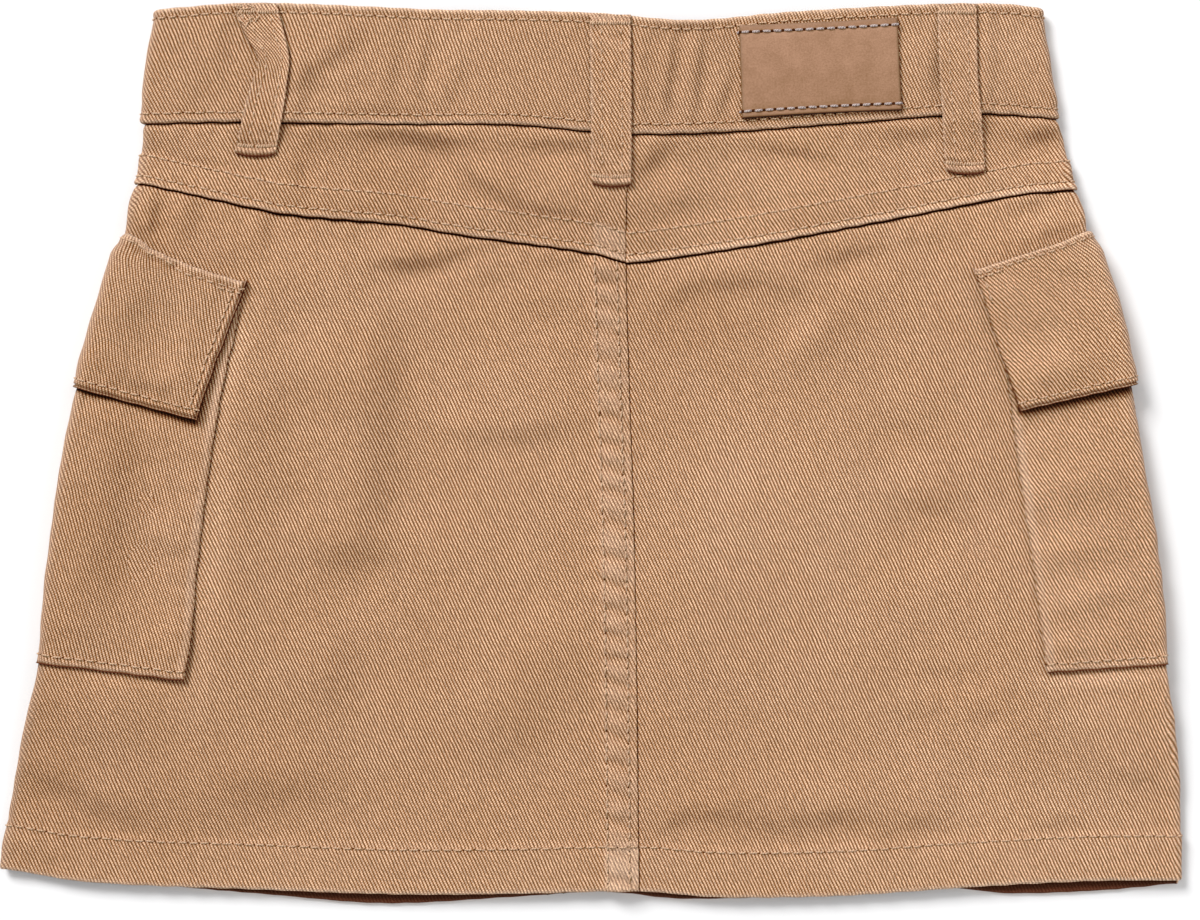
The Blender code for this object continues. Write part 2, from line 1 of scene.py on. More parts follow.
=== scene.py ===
"""The looks of a child's cargo utility skirt, laid flat on its front with its back up.

Every cut piece is a thin shell on the skirt's flat hollow, with its own seams, puckers, creases and
topstitching. Sizes are millimetres, turned into metres where a mesh is made.
"""
import logging
import math
from dataclasses import dataclass, field, replace
from enum import Enum
from typing import Callable, Iterable

import bpy
import numpy as np
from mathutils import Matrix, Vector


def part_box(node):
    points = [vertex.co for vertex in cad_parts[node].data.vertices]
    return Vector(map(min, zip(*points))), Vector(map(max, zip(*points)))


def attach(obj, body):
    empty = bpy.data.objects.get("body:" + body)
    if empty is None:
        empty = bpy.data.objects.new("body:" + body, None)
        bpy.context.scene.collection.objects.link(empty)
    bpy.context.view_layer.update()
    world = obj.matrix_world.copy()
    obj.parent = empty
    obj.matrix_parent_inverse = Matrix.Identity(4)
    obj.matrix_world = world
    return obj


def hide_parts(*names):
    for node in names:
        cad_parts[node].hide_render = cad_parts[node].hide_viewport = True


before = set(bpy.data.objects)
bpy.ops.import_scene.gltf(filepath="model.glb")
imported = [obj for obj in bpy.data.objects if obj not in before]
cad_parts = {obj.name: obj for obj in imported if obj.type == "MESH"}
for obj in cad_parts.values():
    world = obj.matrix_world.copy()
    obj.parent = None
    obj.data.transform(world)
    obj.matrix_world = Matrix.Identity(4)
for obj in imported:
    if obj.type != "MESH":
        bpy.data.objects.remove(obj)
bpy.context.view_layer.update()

MM = 0.001
LOG = logging.getLogger("skirt")
Array = np.ndarray
Line = Callable[[Array], Array]
Colour = tuple[float, float, float]
Thing = bpy.types.Object
Material = bpy.types.Material
Tree, Node, Socket = bpy.types.NodeTree, bpy.types.Node, bpy.types.NodeSocket


# ---- shaping helpers

@dataclass(frozen=True)
class Spline:
    """A smooth line through a few (value, result) points, straight beyond them, with small waves on it."""

    points: tuple[tuple[float, float], ...]
    waves: float = 0.0
    pitch: float = 8.6
    seed: float = 0.0

    def __call__(self, value: Array) -> Array:
        """Reads the line.

        Args:
            value: Where to read it.

        Returns:
            The results, in the shape of value.
        """
        value = np.asarray(value, float)
        xs, ys = np.array(self.points, float).T
        order = np.arange(len(xs))
        after, before = np.minimum(order + 1, len(xs) - 1), np.maximum(order - 1, 0)
        slopes = (ys[after] - ys[before]) / (xs[after] - xs[before])
        i = np.clip(np.searchsorted(xs, value, side="right") - 1, 0, len(xs) - 2)
        span = xs[i + 1] - xs[i]
        t = np.clip((value - xs[i]) / span, 0, 1)
        start = ys[i] * (1 + 2 * t) + slopes[i] * span * t
        end = ys[i + 1] * (3 - 2 * t) - slopes[i + 1] * span * (1 - t)
        inside = start * (1 - t) ** 2 + end * t**2
        low = slopes[0] * np.minimum(value - xs[0], 0)
        high = slopes[-1] * np.maximum(value - xs[-1], 0)
        return inside + low + high + (self.waves and self.waves * ripple(value, self.pitch, self.seed))


def spline(*points: tuple[float, float], **waves: float) -> Spline:
    """A Spline through these points."""
    return Spline(points, **waves)


def mix(a: Array, b: Array, share: Array) -> Array:
    """From a at share 0 to b at share 1."""
    return a + (b - a) * share


def ramp(past: Array, width: float) -> Array:
    """1 up to past = 0, then smoothly down to 0 over the width."""
    share = np.clip(np.asarray(past, float) / width, 0, 1)
    return 1 - share * share * (3 - 2 * share)


def bell(away: Array, width: float) -> Array:
    """1 at 0, falling off on both sides."""
    return np.exp(-((np.asarray(away, float) / width) ** 2))


def rumple(x: Array, y: Array, size: float, seed: float) -> Array:
    """Smooth noise from about -1 to 1.

    Args:
        x: Places across, in millimetres.
        y: Places along, in millimetres.
        size: The width of its patches.
        seed: Picks one pattern.

    Returns:
        The noise at each place.
    """
    gx, gy = np.asarray(x, float) / size + 31.7 * seed, np.asarray(y, float) / size + 17.3 * seed
    gx, gy = np.broadcast_arrays(gx, gy)
    ix, iy = np.floor(gx), np.floor(gy)
    fx, fy = gx - ix, gy - iy

    def corner(dx: int, dy: int) -> Array:
        """The noise at one corner of each place's patch."""
        scrambled = np.sin((ix + dx) * 127.1 + (iy + dy) * 311.7 + seed * 74.7) * 43758.5453
        return 2 * (scrambled - np.floor(scrambled)) - 1

    sx, sy = fx * fx * (3 - 2 * fx), fy * fy * (3 - 2 * fy)
    low, high = mix(corner(0, 0), corner(1, 0), sx), mix(corner(0, 1), corner(1, 1), sx)
    return mix(low, high, sy)


def ripple(along: Array, pitch: float, seed: float) -> Array:
    """An uneven wave from -1 to 1, as puckers have along a seam.

    Args:
        along: Distances along the seam.
        pitch: The wave's length.
        seed: Picks one pattern.

    Returns:
        The wave at each distance.
    """
    stray = rumple(along, 0, 2.6 * pitch, seed)
    strength = 0.6 + 0.4 * rumple(along, 40, 1.9 * pitch, seed + 3)
    return np.sin(2 * math.pi * (along / pitch + 0.55 * stray)) * strength


def graded(length: float, pitch: float, start: bool = True, end: bool = True) -> Array:
    """Shares of a length at an even pitch, with closer ones where an edge is rolled.

    Args:
        length: The length, in millimetres.
        pitch: The even step.
        start: Whether the start is a rolled edge.
        end: Whether the end is.

    Returns:
        Shares from 0 to 1.
    """
    close = np.array([0.08, 0.25, 0.5, 0.85, 1.3])
    body = np.linspace(0, length, max(2, round(length / pitch)) + 1)
    if start:
        body = np.concatenate(([0.0], close, body[body > close[-1] + 0.3 * pitch]))
    if end:
        body = np.concatenate((body[body < length - close[-1] - 0.3 * pitch], length - close[::-1], [length]))
    return body / length


def running(lengths: Array) -> Array:
    """The sum of the lengths so far, from 0."""
    return np.concatenate(([0.0], np.cumsum(lengths)))


def fold_shares(turn: Array) -> tuple[Array, Array]:
    """Shares of a fold's reach outward and upward, round a pressed fold that is squarer than a circle."""
    out, up = np.maximum(np.sin(np.radians(turn)), 0), np.cos(np.radians(turn))
    return out**0.72, np.sign(up) * np.abs(up) ** 0.72


def fold_run(turn: Array) -> Array:
    """The length of cloth round a fold whose reach is 1, up to a turn."""
    turns = np.linspace(0, 180, 361)
    return np.interp(turn, turns, running(np.hypot(*np.diff(fold_shares(turns)))))


# ---- the skirt's form

@dataclass(frozen=True)
class Wrap:
    """A pocket or flap folded round a side: heights of its edges, and its reach from the fold."""

    top: float
    top_inner: float
    bottom: float
    bottom_inner: float
    back_top: float
    back_bottom: float
    front_top: float
    front_bottom: float

    def height(self, down: Array, share: Array) -> Array:
        """The height a share of the way down, at a share of the reach from the fold."""
        return mix(mix(self.top, self.top_inner, share), mix(self.bottom, self.bottom_inner, share), down)

    def level(self, down: Array, inward: Array, on_back: bool, span: float) -> Array:
        """The height at a distance in from the fold's line, where the fold stands a span outside it."""
        return self.height(down, np.clip((inward + span) / (self.reach(0.5, on_back) + span), 0, 1))

    def reach(self, down: Array, on_back: bool) -> Array:
        """How far it reaches from the fold, a share of the way down.

        Args:
            down: Shares of the way down.
            on_back: Whether it is the back's reach.

        Returns:
            The reach.
        """
        if on_back:
            return mix(self.back_top, self.back_bottom, down)
        return mix(self.front_top, self.front_bottom, down)


@dataclass(frozen=True)
class Side:
    """One side of the skirt: the line its tube folds along, and what is sewn over that line."""

    name: str
    sign: int
    fold: Spline
    flap: Wrap
    pocket: Wrap

    @property
    def rim(self) -> float:
        """How strongly its fold's rim is painted with a dull sheen, more on the left."""
        return 0.8 if self.sign < 0 else 0.3


class Shape(Enum):
    """How a fold lies across its line."""

    RIDGE = "ridge"
    STEP = "step"


@dataclass(frozen=True)
class Fold:
    """A soft ridge, or a step that falls toward the left of its line.

    Its middle, half-lengths along and across, turn, height and shape.
    """

    x: float
    y: float
    along: float
    across: float
    turn: float
    height: float
    shape: Shape = Shape.RIDGE

    def at(self, x: Array, y: Array) -> Array:
        """Its height at each place.

        Args:
            x: Places across.
            y: Heights.

        Returns:
            The heights.
        """
        turn = math.radians(self.turn)
        dx, dy = x - self.x, y - self.y
        along = (dx * math.cos(turn) + dy * math.sin(turn)) / self.along
        across = (dy * math.cos(turn) - dx * math.sin(turn)) / self.across
        if self.shape is Shape.STEP:
            return -self.height * np.tanh(across) * np.exp(-(along**2) - (across / 3.5) ** 2)
        return self.height * np.exp(-(along**2) - across**2)


def ridges(*rows: tuple[float, ...]) -> tuple[Fold, ...]:
    """Folds that stand up as soft ridges."""
    return tuple(Fold(*row) for row in rows)


def steps(*rows: tuple[float, ...]) -> tuple[Fold, ...]:
    """Folds that fall to one side."""
    return tuple(Fold(*row, Shape.STEP) for row in rows)


@dataclass(frozen=True)
class Form:
    """The skirt's flat tube: its edges, its walls, and how high its two faces lie."""

    gap: float = 0.3
    panel: float = 1.0
    yoke: float = 1.1
    band: float = 1.8
    pocket: float = 1.0
    flap: float = 1.4
    loop: float = 1.2
    patch: float = 1.1
    hollow: float = 1.6
    closure_x: float = -6.0
    band_overlap: float = 16.0
    button_seat: float = 1.9
    loop_width: float = 12.5
    front_loops: tuple[float, ...] = (-80.0, 84.0)
    loop_below: float = 14.0
    margin: float = 3.0
    ramps_front: tuple[float, float, float] = (16.0, 10.0, 20.0)
    ramps_back: tuple[float, float, float] = (38.0, 26.0, 52.0)
    seam_angle: float = 10.0
    band_top: Spline = spline(
        (-135, 137.2), (-105, 139.0), (-45, 136.8), (0, 135.6), (29, 133.6), (60, 136.1), (108, 138.7),
        (128, 138.8), (137, 137.9), (142, 136.6), waves=0.12, seed=1)
    band_bottom: Spline = spline((-139, 101.5), (-116, 102.0), (-59, 101.2), (-24, 100.9), (12, 98.0),
                                 (49, 99.4), (81, 101.8), (122, 104.6), (144, 103.1), waves=0.13, seed=2)
    yoke_left: Spline = spline((-141, 83.2), (-116, 77.8), (-95, 73.5), (-59, 70.2), (-43, 67.4),
                               (0, 61.4), (11, 58.4), waves=0.13, seed=3)
    yoke_right: Spline = spline((11, 58.2), (24, 59.8), (49, 63.6), (97, 72.5), (133, 79.4), (149, 80.9),
                                waves=0.13, seed=3)
    hem_back: Spline = spline((-182, -129.9), (-157, -133.9), (-106, -136.2), (-59, -137.8), (-23, -137.6),
                              (15, -136.9), (40, -138.7), (77, -138.3), (122, -135.3), (158, -133.6),
                              (182, -133.5), waves=0.12, pitch=9.4, seed=5)
    hem_front: Spline = spline((-182, -129.6), (-137, -134.9), (-101, -138.1), (-64, -140.9), (-24, -138.9),
                               (4, -137.3), (29, -139.5), (78, -138.0), (112, -136.2), (130, -137.8),
                               (160, -136.8), (182, -134.7), waves=0.12, pitch=9.4, seed=6)
    back_seam: Spline = spline((-137, 15.0), (-34, 13.6), (58, 10.9), (98, 11.5), waves=0.08, seed=9)
    front_seam: Spline = spline((-137, -11.0), (98, -6.0))
    left: Side = Side(
        "left", -1,
        spline(
            (-133, -182.0), (-118, -180.3), (-107, -178.4), (-88, -174.2), (-74, -171.2), (-56, -168.0),
            (-37, -166.2), (0, -160.4), (22, -155.7), (47, -148.6), (67, -142.9), (74, -141.6),
            (82, -139.0), (93, -137.8), (101, -137.3), (109, -137.2), (121, -135.8), (140, -132.3),
            waves=0.15, pitch=12, seed=7),
        flap=Wrap(67.6, 52.7, 19.8, 8.7, 40.8, 36.8, 33.0, 30.0),
        pocket=Wrap(58.0, 44.0, -65.7, -71.0, 41.0, 44.7, 32.5, 36.5),
    )
    right: Side = Side(
        "right", 1,
        spline(
            (-133, 181.4), (-107, 181.2), (-88, 178.9), (-74, 177.6), (-37, 173.5), (0, 168.1),
            (22, 164.6), (47, 158.9), (67, 152.5), (73, 151.3), (78, 149.2), (84, 146.8), (93, 145.9),
            (97, 145.3), (101, 143.5), (109, 142.0), (140, 137.2), waves=0.15, pitch=12, seed=8),
        flap=Wrap(68.2, 56.4, 20.6, 11.7, 37.7, 33.6, 41.0, 37.0),
        pocket=Wrap(58.0, 47.0, -66.2, -68.7, 35.0, 35.8, 42.5, 44.5),
    )
    swells: tuple[Fold, ...] = ridges(
        (-77, 8, 44, 14, 92, 1.4), (-30, 20, 32, 14, -6, 1.3), (-20, -62, 40, 17, 28, 1.2),
        (-88, -66, 26, 15, 70, 1.1), (-112, -104, 34, 11, 12, 1.0), (72, 40, 20, 8, 44, 1.1),
        (56, -12, 42, 26, 8, 1.6), (90, -56, 24, 15, 60, 1.1), (62, -108, 46, 9, 0, 1.1),
        (30, -60, 30, 16, 80, 0.9),
    )

    @property
    def pocket_depth(self) -> float:
        """Depth of a pocket's inner face."""
        return self.panel + self.gap

    @property
    def flap_depth(self) -> float:
        """Depth of a flap's inner face."""
        return self.pocket_depth + self.pocket + self.gap

    @property
    def side_stack(self) -> float:
        """What a pocket and flap add under the panel."""
        return self.flap_depth + self.flap - self.panel

    @property
    def closure_stack(self) -> float:
        """What the button and the band's outer end add under its inner end."""
        return self.button_seat + self.band + self.gap

    def yoke_edge(self, x: Array) -> Array:
        """Height of the yoke's lower edge."""
        return np.where(np.asarray(x) < 11, self.yoke_left(x), self.yoke_right(x))

    def past_side(self, side: Side, x: Array, y: Array, on_back: bool) -> tuple[Array, Array, Array]:
        """How far a point lies outside a side's pocket and flap: inward, above and below.

        Args:
            side: The side.
            x: Places across.
            y: Heights.
            on_back: Whether they are on the back.

        Returns:
            The three distances, below 0 inside.
        """
        inward = side.sign * (side.fold(y) - x)
        flap, pocket = side.flap, side.pocket
        down = np.clip((flap.top - y) / (flap.top - pocket.bottom), 0, 1)
        reach = mix(flap.reach(0, on_back), pocket.reach(1, on_back), down)
        share = np.clip(inward / reach, 0, 1.4)
        return inward - reach, y - flap.height(0, share), pocket.height(1, share) - y

    def side_rise(self, x: Array, y: Array, on_back: bool) -> Array:
        """What the sides' pockets and flaps, which lie underneath too, lift the cloth by.

        Args:
            x: Places across.
            y: Heights.
            on_back: Whether it is the back's cloth, which drapes further.

        Returns:
            The lift.
        """
        lifts = []
        for side in (self.left, self.right):
            parts = self.past_side(side, x, y, on_back)
            widths = self.ramps_back if on_back else self.ramps_front
            parts = [np.maximum((part - self.margin) / width, 0) for part, width in zip(parts, widths)]
            away = np.sqrt(sum(part**2 for part in parts))
            lifts.append(np.where(side.sign * np.asarray(x) > 0, self.side_stack * ramp(away, 1), 0))
        return lifts[0] + lifts[1]

    def covered(self, x: Array, y: Array) -> Array:
        """1 where a pocket or flap lies on the back's cloth, 0 well away from one.

        Args:
            x: Places across.
            y: Heights.

        Returns:
            The share covered.
        """
        found = 0.0
        for side in (self.left, self.right):
            away = np.maximum.reduce(self.past_side(side, x, y, True))
            found = np.maximum(found, ramp(away - 0.5, 4.0) * (side.sign * np.asarray(x) > 0))
        return found

    def band_rise(self, x: Array, y: Array) -> Array:
        """The band is thicker than the panels, so it holds the cloth below it up a little."""
        return (self.band - self.panel) * ramp(self.band_bottom(x) - y, 10.0)

    def loop_rise(self, x: Array, spread: float) -> Array:
        """What the front belt loops lift the cloth over them by."""
        shares = [ramp(np.abs(x - place) - self.loop_width, spread) for place in self.front_loops]
        return (self.loop + self.gap) * np.maximum.reduce(shares)

    def trim_rise(self, x: Array, y: Array, closure: Array, spread: float) -> Array:
        """What the closure and the front belt loops, which lie underneath, lift the cloth by.

        Args:
            x: Places across.
            y: Heights.
            closure: How much the closure adds.
            spread: How far the cloth takes to come down.

        Returns:
            The lift.
        """
        lump = closure * ramp(np.abs(x - self.closure_x) - self.band_overlap, spread)
        lump = np.maximum(lump, self.loop_rise(x, spread))
        return lump * ramp(self.band_bottom(x) - self.loop_below - 2 - y, 24.0)

    def front_face(self, x: Array, y: Array) -> Array:
        """Height of the front's inner face.

        Args:
            x: Places across.
            y: Heights.

        Returns:
            The height.
        """
        in_band = y > self.band_bottom(x) - self.gap / 2
        closure = np.where(in_band, self.closure_stack, self.button_seat)
        level = self.panel + self.side_rise(x, y, False) + self.band_rise(x, y)
        return level + self.trim_rise(x, y, closure, 14.0)

    def back_face(self, x: Array, y: Array) -> Array:
        """Height of the back's inner face, which drapes over what the front's follows closely.

        Args:
            x: Places across.
            y: Heights.

        Returns:
            The height.
        """
        sides = np.maximum(self.side_rise(x, y, True), self.side_rise(x, y, False))
        level = self.panel + self.hollow + sides + self.band_rise(x, y)
        level = level + self.trim_rise(x, y, self.closure_stack, 42.0)
        return level + sum(swell.at(x, y) for swell in self.swells)

    def place(self, x: Array, y: Array, turn: Array, sign: Array, depth: Array) -> Array:
        """Points at a depth outward from the hollow.

        Args:
            x: Where they lie across, or the fold's place.
            y: Their heights.
            turn: Degrees round a fold: 0 on the back, 180 on the front.
            sign: Which fold, -1 or 1.
            depth: How far outward from the hollow.

        Returns:
            An array of the inputs' shape with a last axis of three.
        """
        x, y, turn, sign, depth = np.broadcast_arrays(x, y, turn, sign, depth)
        back, front = self.back_face(x, y), self.front_face(x, y)
        reach = (back - front) / 2 + depth
        out, up = fold_shares(turn)
        return np.stack((x + sign * reach * out, y, (back + front) / 2 + reach * up), axis=-1)


FORM = Form()

PANEL_FOLDS = steps(
    (-63, 20, 26, 7, -93, 2.7), (-67, -14, 13, 6, -97, 1.5), (-73, -33, 11, 5.5, 180, 2.0),
    (-90, 32, 8, 6, -135, -0.96), (-90, -22, 8, 6, -135, -0.8), (-98, 12, 12, 5, -100, 0.8),
    (-57, 58, 10, 2.6, 180, 2.1), (-42, 61, 10, 1.8, -164, 0.96), (-31, 54, 6, 2.5, 180, 0.64),
    (-12, 58.5, 8, 2, 177, 0.64), (-15, 44, 8, 3, 160, 0.64), (-30, 4, 18, 3, 178, 0.96),
    (-12, 7, 8, 3, -170, 0.64), (-40, -5, 5, 3, 180, 0.56), (-18, -55, 9, 6, -135, -0.8),
    (-36, -75, 10, 6, -135, -0.8), (-22, -90, 14, 7, -150, 0.8), (-77, -68, 12, 6, -100, 0.96),
    (-97, -106, 14, 6, 170, 1.2), (-166, -104, 10, 4, 155, 1.6), (-150, -112, 10, 3.5, 157, 1.3),
    (-158, -88, 14, 8, 140, 1.3), (-168, -117, 8, 2, 175, 0.48), (-172, -126, 9, 3, 175, 0.64),
    (-135.5, 72, 9, 1.6, -95, 1.4), (-123, 74, 6, 2.5, -92, 0.8), (-130, 60, 8, 1.8, 153, 1.4),
    (-117, 58, 7, 1.8, 150, 0.64), (-101, 67, 7, 2.5, -92, 0.8), (-127, 70, 12, 7, 175, 1.1),
    (28, 48, 7, 2.8, -145, 0.8), (44, 52, 13, 3, -175, 1.3), (62, 49, 8, 3, 165, 0.96),
    (67, 38, 10, 2.6, -131, -0.64), (97, 8, 9, 4, 160, 0.96), (104, -17, 11, 4, 170, 1.3),
    (120, -12, 9, 5, 170, 0.64), (104, -38, 9, 6, -150, -0.8), (108, -68, 9, 2.5, 175, 0.56),
    (101, -82, 7, 3, 178, 0.64), (122, -82, 5, 2.5, -165, 0.56), (27, -115, 6, 2.2, -158, 0.8),
    (40, -113.5, 8, 2.5, 174, 0.96), (56, -117, 8, 2.5, 165, 0.64), (75, -114.5, 10, 3, -178, 1.1),
    (101, -116, 9, 2.5, -172, 0.8), (112, -103, 8, 3, -80, 0.64), (170, -102, 9, 3, 165, 0.8),
    (146, -116, 7, 2, -170, 0.48), (160, -73.5, 11, 2.2, 180, 0.3), (80, 61, 11, 2.3, -168, 1.4),
    (105, 65, 8, 4, -165, 0.8), (145, 66.5, 9, 1.6, -165, 1.6), (134, 76, 6, 2, -170, 1.1),
) + ridges((4.5, 57.2, 5, 2.2, 0, 1.4))
YOKE_FOLDS = steps(
    (-62, 98, 14, 2.6, 176, 1.8), (-45, 95.5, 9, 2.2, 174, 1.5), (-44, 90, 8, 3, 138, 1.2),
    (-32, 82, 7, 2, 143, 1.5), (-13, 73.8, 12, 1.8, 170, 1.1), (-12, 94.5, 12, 1.8, 180, 0.94),
    (19, 89.5, 7, 2.4, -140, 1.5), (64, 92.5, 13, 1.8, 170, 1.1), (28, 77, 5, 2, 180, 0.68),
    (104, 91, 6, 3, 130, 0.81), (140, 98, 6, 2.2, -170, 1.6), (-122, 90, 8, 2.2, 170, 0.81),
    (-91, 87, 6, 2.5, -95, 0.81), (-78, 94, 7, 3, 120, 0.68), (120, 96, 5, 2.5, -100, 0.54),
    (-132, 95, 6, 3, 150, 0.68), (100, 98, 9, 2, 180, 0.81),
)
BAND_FOLDS = steps(
    (-84, 119, 9, 2.2, -143, 1.0), (-75, 126, 6, 3, -135, 0.65), (-83, 113, 8, 1.8, -178, 0.52),
    (-61, 117, 9, 1.8, -98, 0.65), (-52, 119, 8, 1.4, -98, 0.78), (-42, 113, 9, 2.5, -115, 0.78),
    (24.5, 115, 13, 1.2, -97, 1.0), (33.5, 117, 15, 1.2, -95, 1.0), (42, 111, 8, 1.4, -110, 0.8),
    (28, 131.5, 6, 1.5, 180, 0.91), (106, 117, 8, 2, -92, 0.78), (-113.5, 127, 10, 2, -90, 0.65),
    (-123, 111, 6, 2.5, -95, 0.52), (-66, 105, 12, 2, 180, 0.52),
) + ridges(
    (15.4, 118, 20, 2.4, 90, 0.9), (122.8, 119, 20, 2.2, 87, 0.8), (-90.6, 121, 9, 2.4, 95, 0.8),
    (-92.0, 107, 9, 2.2, 82, 0.8),
)
WRAP_FOLDS = {
    "pocket_left": steps(
        (-146, -5, 16, 5, -95, 1.2), (-148, -32, 22, 5, -100, 1.3), (-131, -30, 7, 2, 150, 0.65),
        (-132, -54, 8, 5, -150, -0.78), (-133, -22, 6, 4, -150, -0.39),
    ),
    "pocket_right": ridges(
        (149, -10.5, 16, 7, 15, 1.6), (149, -30.5, 15, 5, 14, 1.3), (153, -45.5, 16, 4.5, 16, 1.2),
        (150, -61, 14, 6, 5, 1.4),
    ),
    "flap_left": steps(
        (-129, 27, 8, 5, -135, -1.2), (-140, 44, 8, 3, -120, 0.65), (-137, 19.5, 8, 1.5, 163, 0.52),
    ) + ridges((-124, 13, 6, 5, 160, 0.78)),
    "flap_right": ridges(
        (141, 24, 12, 6, 15, 1.6), (127, 47, 9, 6, -20, 1.0),
    ) + steps(
        (149, 55, 7, 1.8, 165, 0.65), (138, 39, 6, 2, -170, 0.39),
    ),
}

# Tone patches: some are the cloth's washed unevenness, some are painted light and shade.
WASHED_AND_PAINTED_LIGHT = ridges(
    (62, -22, 50, 34, 15, 0.09), (130, -114, 24, 12, 20, 0.07), (95, -75, 40, 26, 0, 0.03),
    (-77, -74, 9, 12, 0, -0.05), (-150, -105, 30, 22, 0, -0.05), (-108, 20, 16, 34, 0, -0.03),
    (60, 82, 60, 14, 8, 0.05), (150, 20, 30, 60, 0, 0.05), (148, -40, 20, 30, 0, 0.08),
    (-30, -20, 26, 40, 0, 0.03), (-88, -104, 20, 16, 0, -0.03), (40, 40, 28, 10, 8, -0.08),
    (-158, -33, 120, 13, 79, -0.10), (128, 120, 16, 16, 0, 0.07), (-120, 119, 16, 16, 0, -0.04),
    (106, -10, 14, 26, 0, -0.04), (128, 28, 12, 26, 10, 0.03), (-60, 86, 50, 14, -8, -0.08),
    (-142, -26, 18, 34, 0, -0.03), (-122, 68, 24, 13, -14, -0.09), (152, -115, 48, 30, 0, 0.07),
    (160, -78, 24, 12, 0, 0.10), (160, -70.8, 20, 2.0, 2, 0.25), (103, 127, 20, 6, 0, 0.10),
    (60, -129, 110, 9, 0, 0.05), (-158, -122, 14, 20, 0, -0.05), (42, 62, 20, 10, 0, 0.05),
    (132, 128, 10, 10, 0, 0.06), (-116, -28, 42, 4, 84, 0.16), (-111, 30, 22, 4, 69, 0.2),
)


def folded(folds: Iterable[Fold], x: Array, y: Array) -> Array:
    """What folds add to a height at each place."""
    return sum((fold.at(x, y) for fold in folds), start=0.0 * (x + y))


def washed_and_painted_light(x: Array, y: Array) -> Array:
    """The cloth's share of its colour at each place: its washed and handled tone, with painted light and
    shade patches laid over it.
    """
    return 1.0 + folded(WASHED_AND_PAINTED_LIGHT, x, y) + 0.02 * rumple(x, y, 30, 12)


# ---- cloth meshes

@dataclass
class Cut:
    """A cut piece laid out as a grid: outer and inner points, flat places, and marks on the cloth.

    A mark is a value at each point: wear, the painted dull sheen at a fold's rim, the distance from a
    stitched row, the painted shade along shaded edges, and the tone, which carries painted light and shade as
    well.
    """

    outer: Array
    inner: Array
    flat: Array
    marks: dict[str, Array]

    @property
    def normals(self) -> Array:
        """Outward directions of the outer points.

        Returns:
            A unit direction at each grid point.
        """
        down, across = np.gradient(self.outer, axis=0), np.gradient(self.outer, axis=1)
        found = np.cross(down, across)
        found /= np.maximum(np.linalg.norm(found, axis=-1, keepdims=True), 1e-9)
        outward = self.outer - self.inner
        return np.where((found * outward).sum(-1).mean() < 0, -found, found)

    def size(self) -> tuple[float, float, float]:
        """Width, length and area of the flat cut, in metres and square metres.

        Returns:
            The three sizes.
        """
        middle = (self.outer + self.inner) / 2
        across = np.linalg.norm(np.diff(middle, axis=1), axis=-1)
        down = np.linalg.norm(np.diff(middle, axis=0), axis=-1)
        corner = np.cross(middle[1:, :-1] - middle[:-1, :-1], middle[:-1, 1:] - middle[:-1, :-1])
        area = np.linalg.norm(corner, axis=-1).sum()
        width, length = across.sum(1).max() * MM, down.sum(0).max() * MM
        return width, length, min(area * MM * MM, width * length)

    def contour(self, field: Array, level: float, down: bool = False) -> tuple[Array, Array]:
        """The line on the outer face where a field has a level.

        Args:
            field: A value at each grid point that rises or falls steadily along each line.
            level: The value to follow.
            down: Whether the line runs down the rows and not across the columns.

        Returns:
            The line's points and their normals.
        """
        field = np.broadcast_to(field, self.outer.shape[:2])
        grid, turned = (self.outer, field) if down else (self.outer.transpose(1, 0, 2), field.T)
        tilts = self.normals if down else self.normals.transpose(1, 0, 2)
        points, ups = [], []
        for line, values, tilt in zip(grid, turned, tilts):
            over = values >= level
            flips = np.nonzero(over[1:] != over[:-1])[0]
            if not len(flips):
                continue
            i = flips[0]
            share = (level - values[i]) / (values[i + 1] - values[i])
            points.append(mix(line[i], line[i + 1], share))
            ups.append(mix(tilt[i], tilt[i + 1], share))
        return np.array(points), np.array(ups)


def edge_roll(distances: Iterable[Array], radius: float) -> Array:
    """A share of the full wall that falls away roundly at each edge.

    Args:
        distances: Distances from each edge.
        radius: How far in the edge is round.

    Returns:
        The share at each place.
    """
    roll = 1.0
    for away in distances:
        near = 1 - np.clip(away / radius, 0, 1)
        roll = roll * np.sqrt(np.clip(1 - near**2, 0.0009, 1))
    return roll


def mesh_object(name: str, points: Array, faces: Array, materials: list[Material],
                indices: Array | None = None) -> Thing:
    """A mesh object from arrays.

    Args:
        name: The object's name.
        points: Places in millimetres.
        faces: Corner indices, four to a face.
        materials: The object's materials.
        indices: Which material each face has.

    Returns:
        The object, smooth-shaded and in the scene.
    """
    mesh = bpy.data.meshes.new(name)
    mesh.vertices.add(len(points))
    mesh.vertices.foreach_set("co", (np.asarray(points, np.float32) * MM).ravel())
    mesh.loops.add(faces.size)
    mesh.loops.foreach_set("vertex_index", faces.astype(np.int32).ravel())
    mesh.polygons.add(len(faces))
    mesh.polygons.foreach_set("loop_start", np.arange(0, faces.size, faces.shape[1], dtype=np.int32))
    for material in materials:
        mesh.materials.append(material)
    if indices is not None:
        mesh.polygons.foreach_set("material_index", indices.astype(np.int32))
    mesh.update(calc_edges=True)
    mesh.shade_smooth()
    thing = bpy.data.objects.new(name, mesh)
    bpy.context.scene.collection.objects.link(thing)
    return thing


def grid_faces(rows: int, columns: int) -> Array:
    """Corner indices of the faces of a grid of points.

    Args:
        rows: Rows of points.
        columns: Columns of points.

    Returns:
        Four indices for each face.
    """
    r, c = np.mgrid[0:rows - 1, 0:columns - 1]
    at = r * columns + c
    return np.stack((at, at + columns, at + columns + 1, at + 1), axis=-1).reshape(-1, 4)


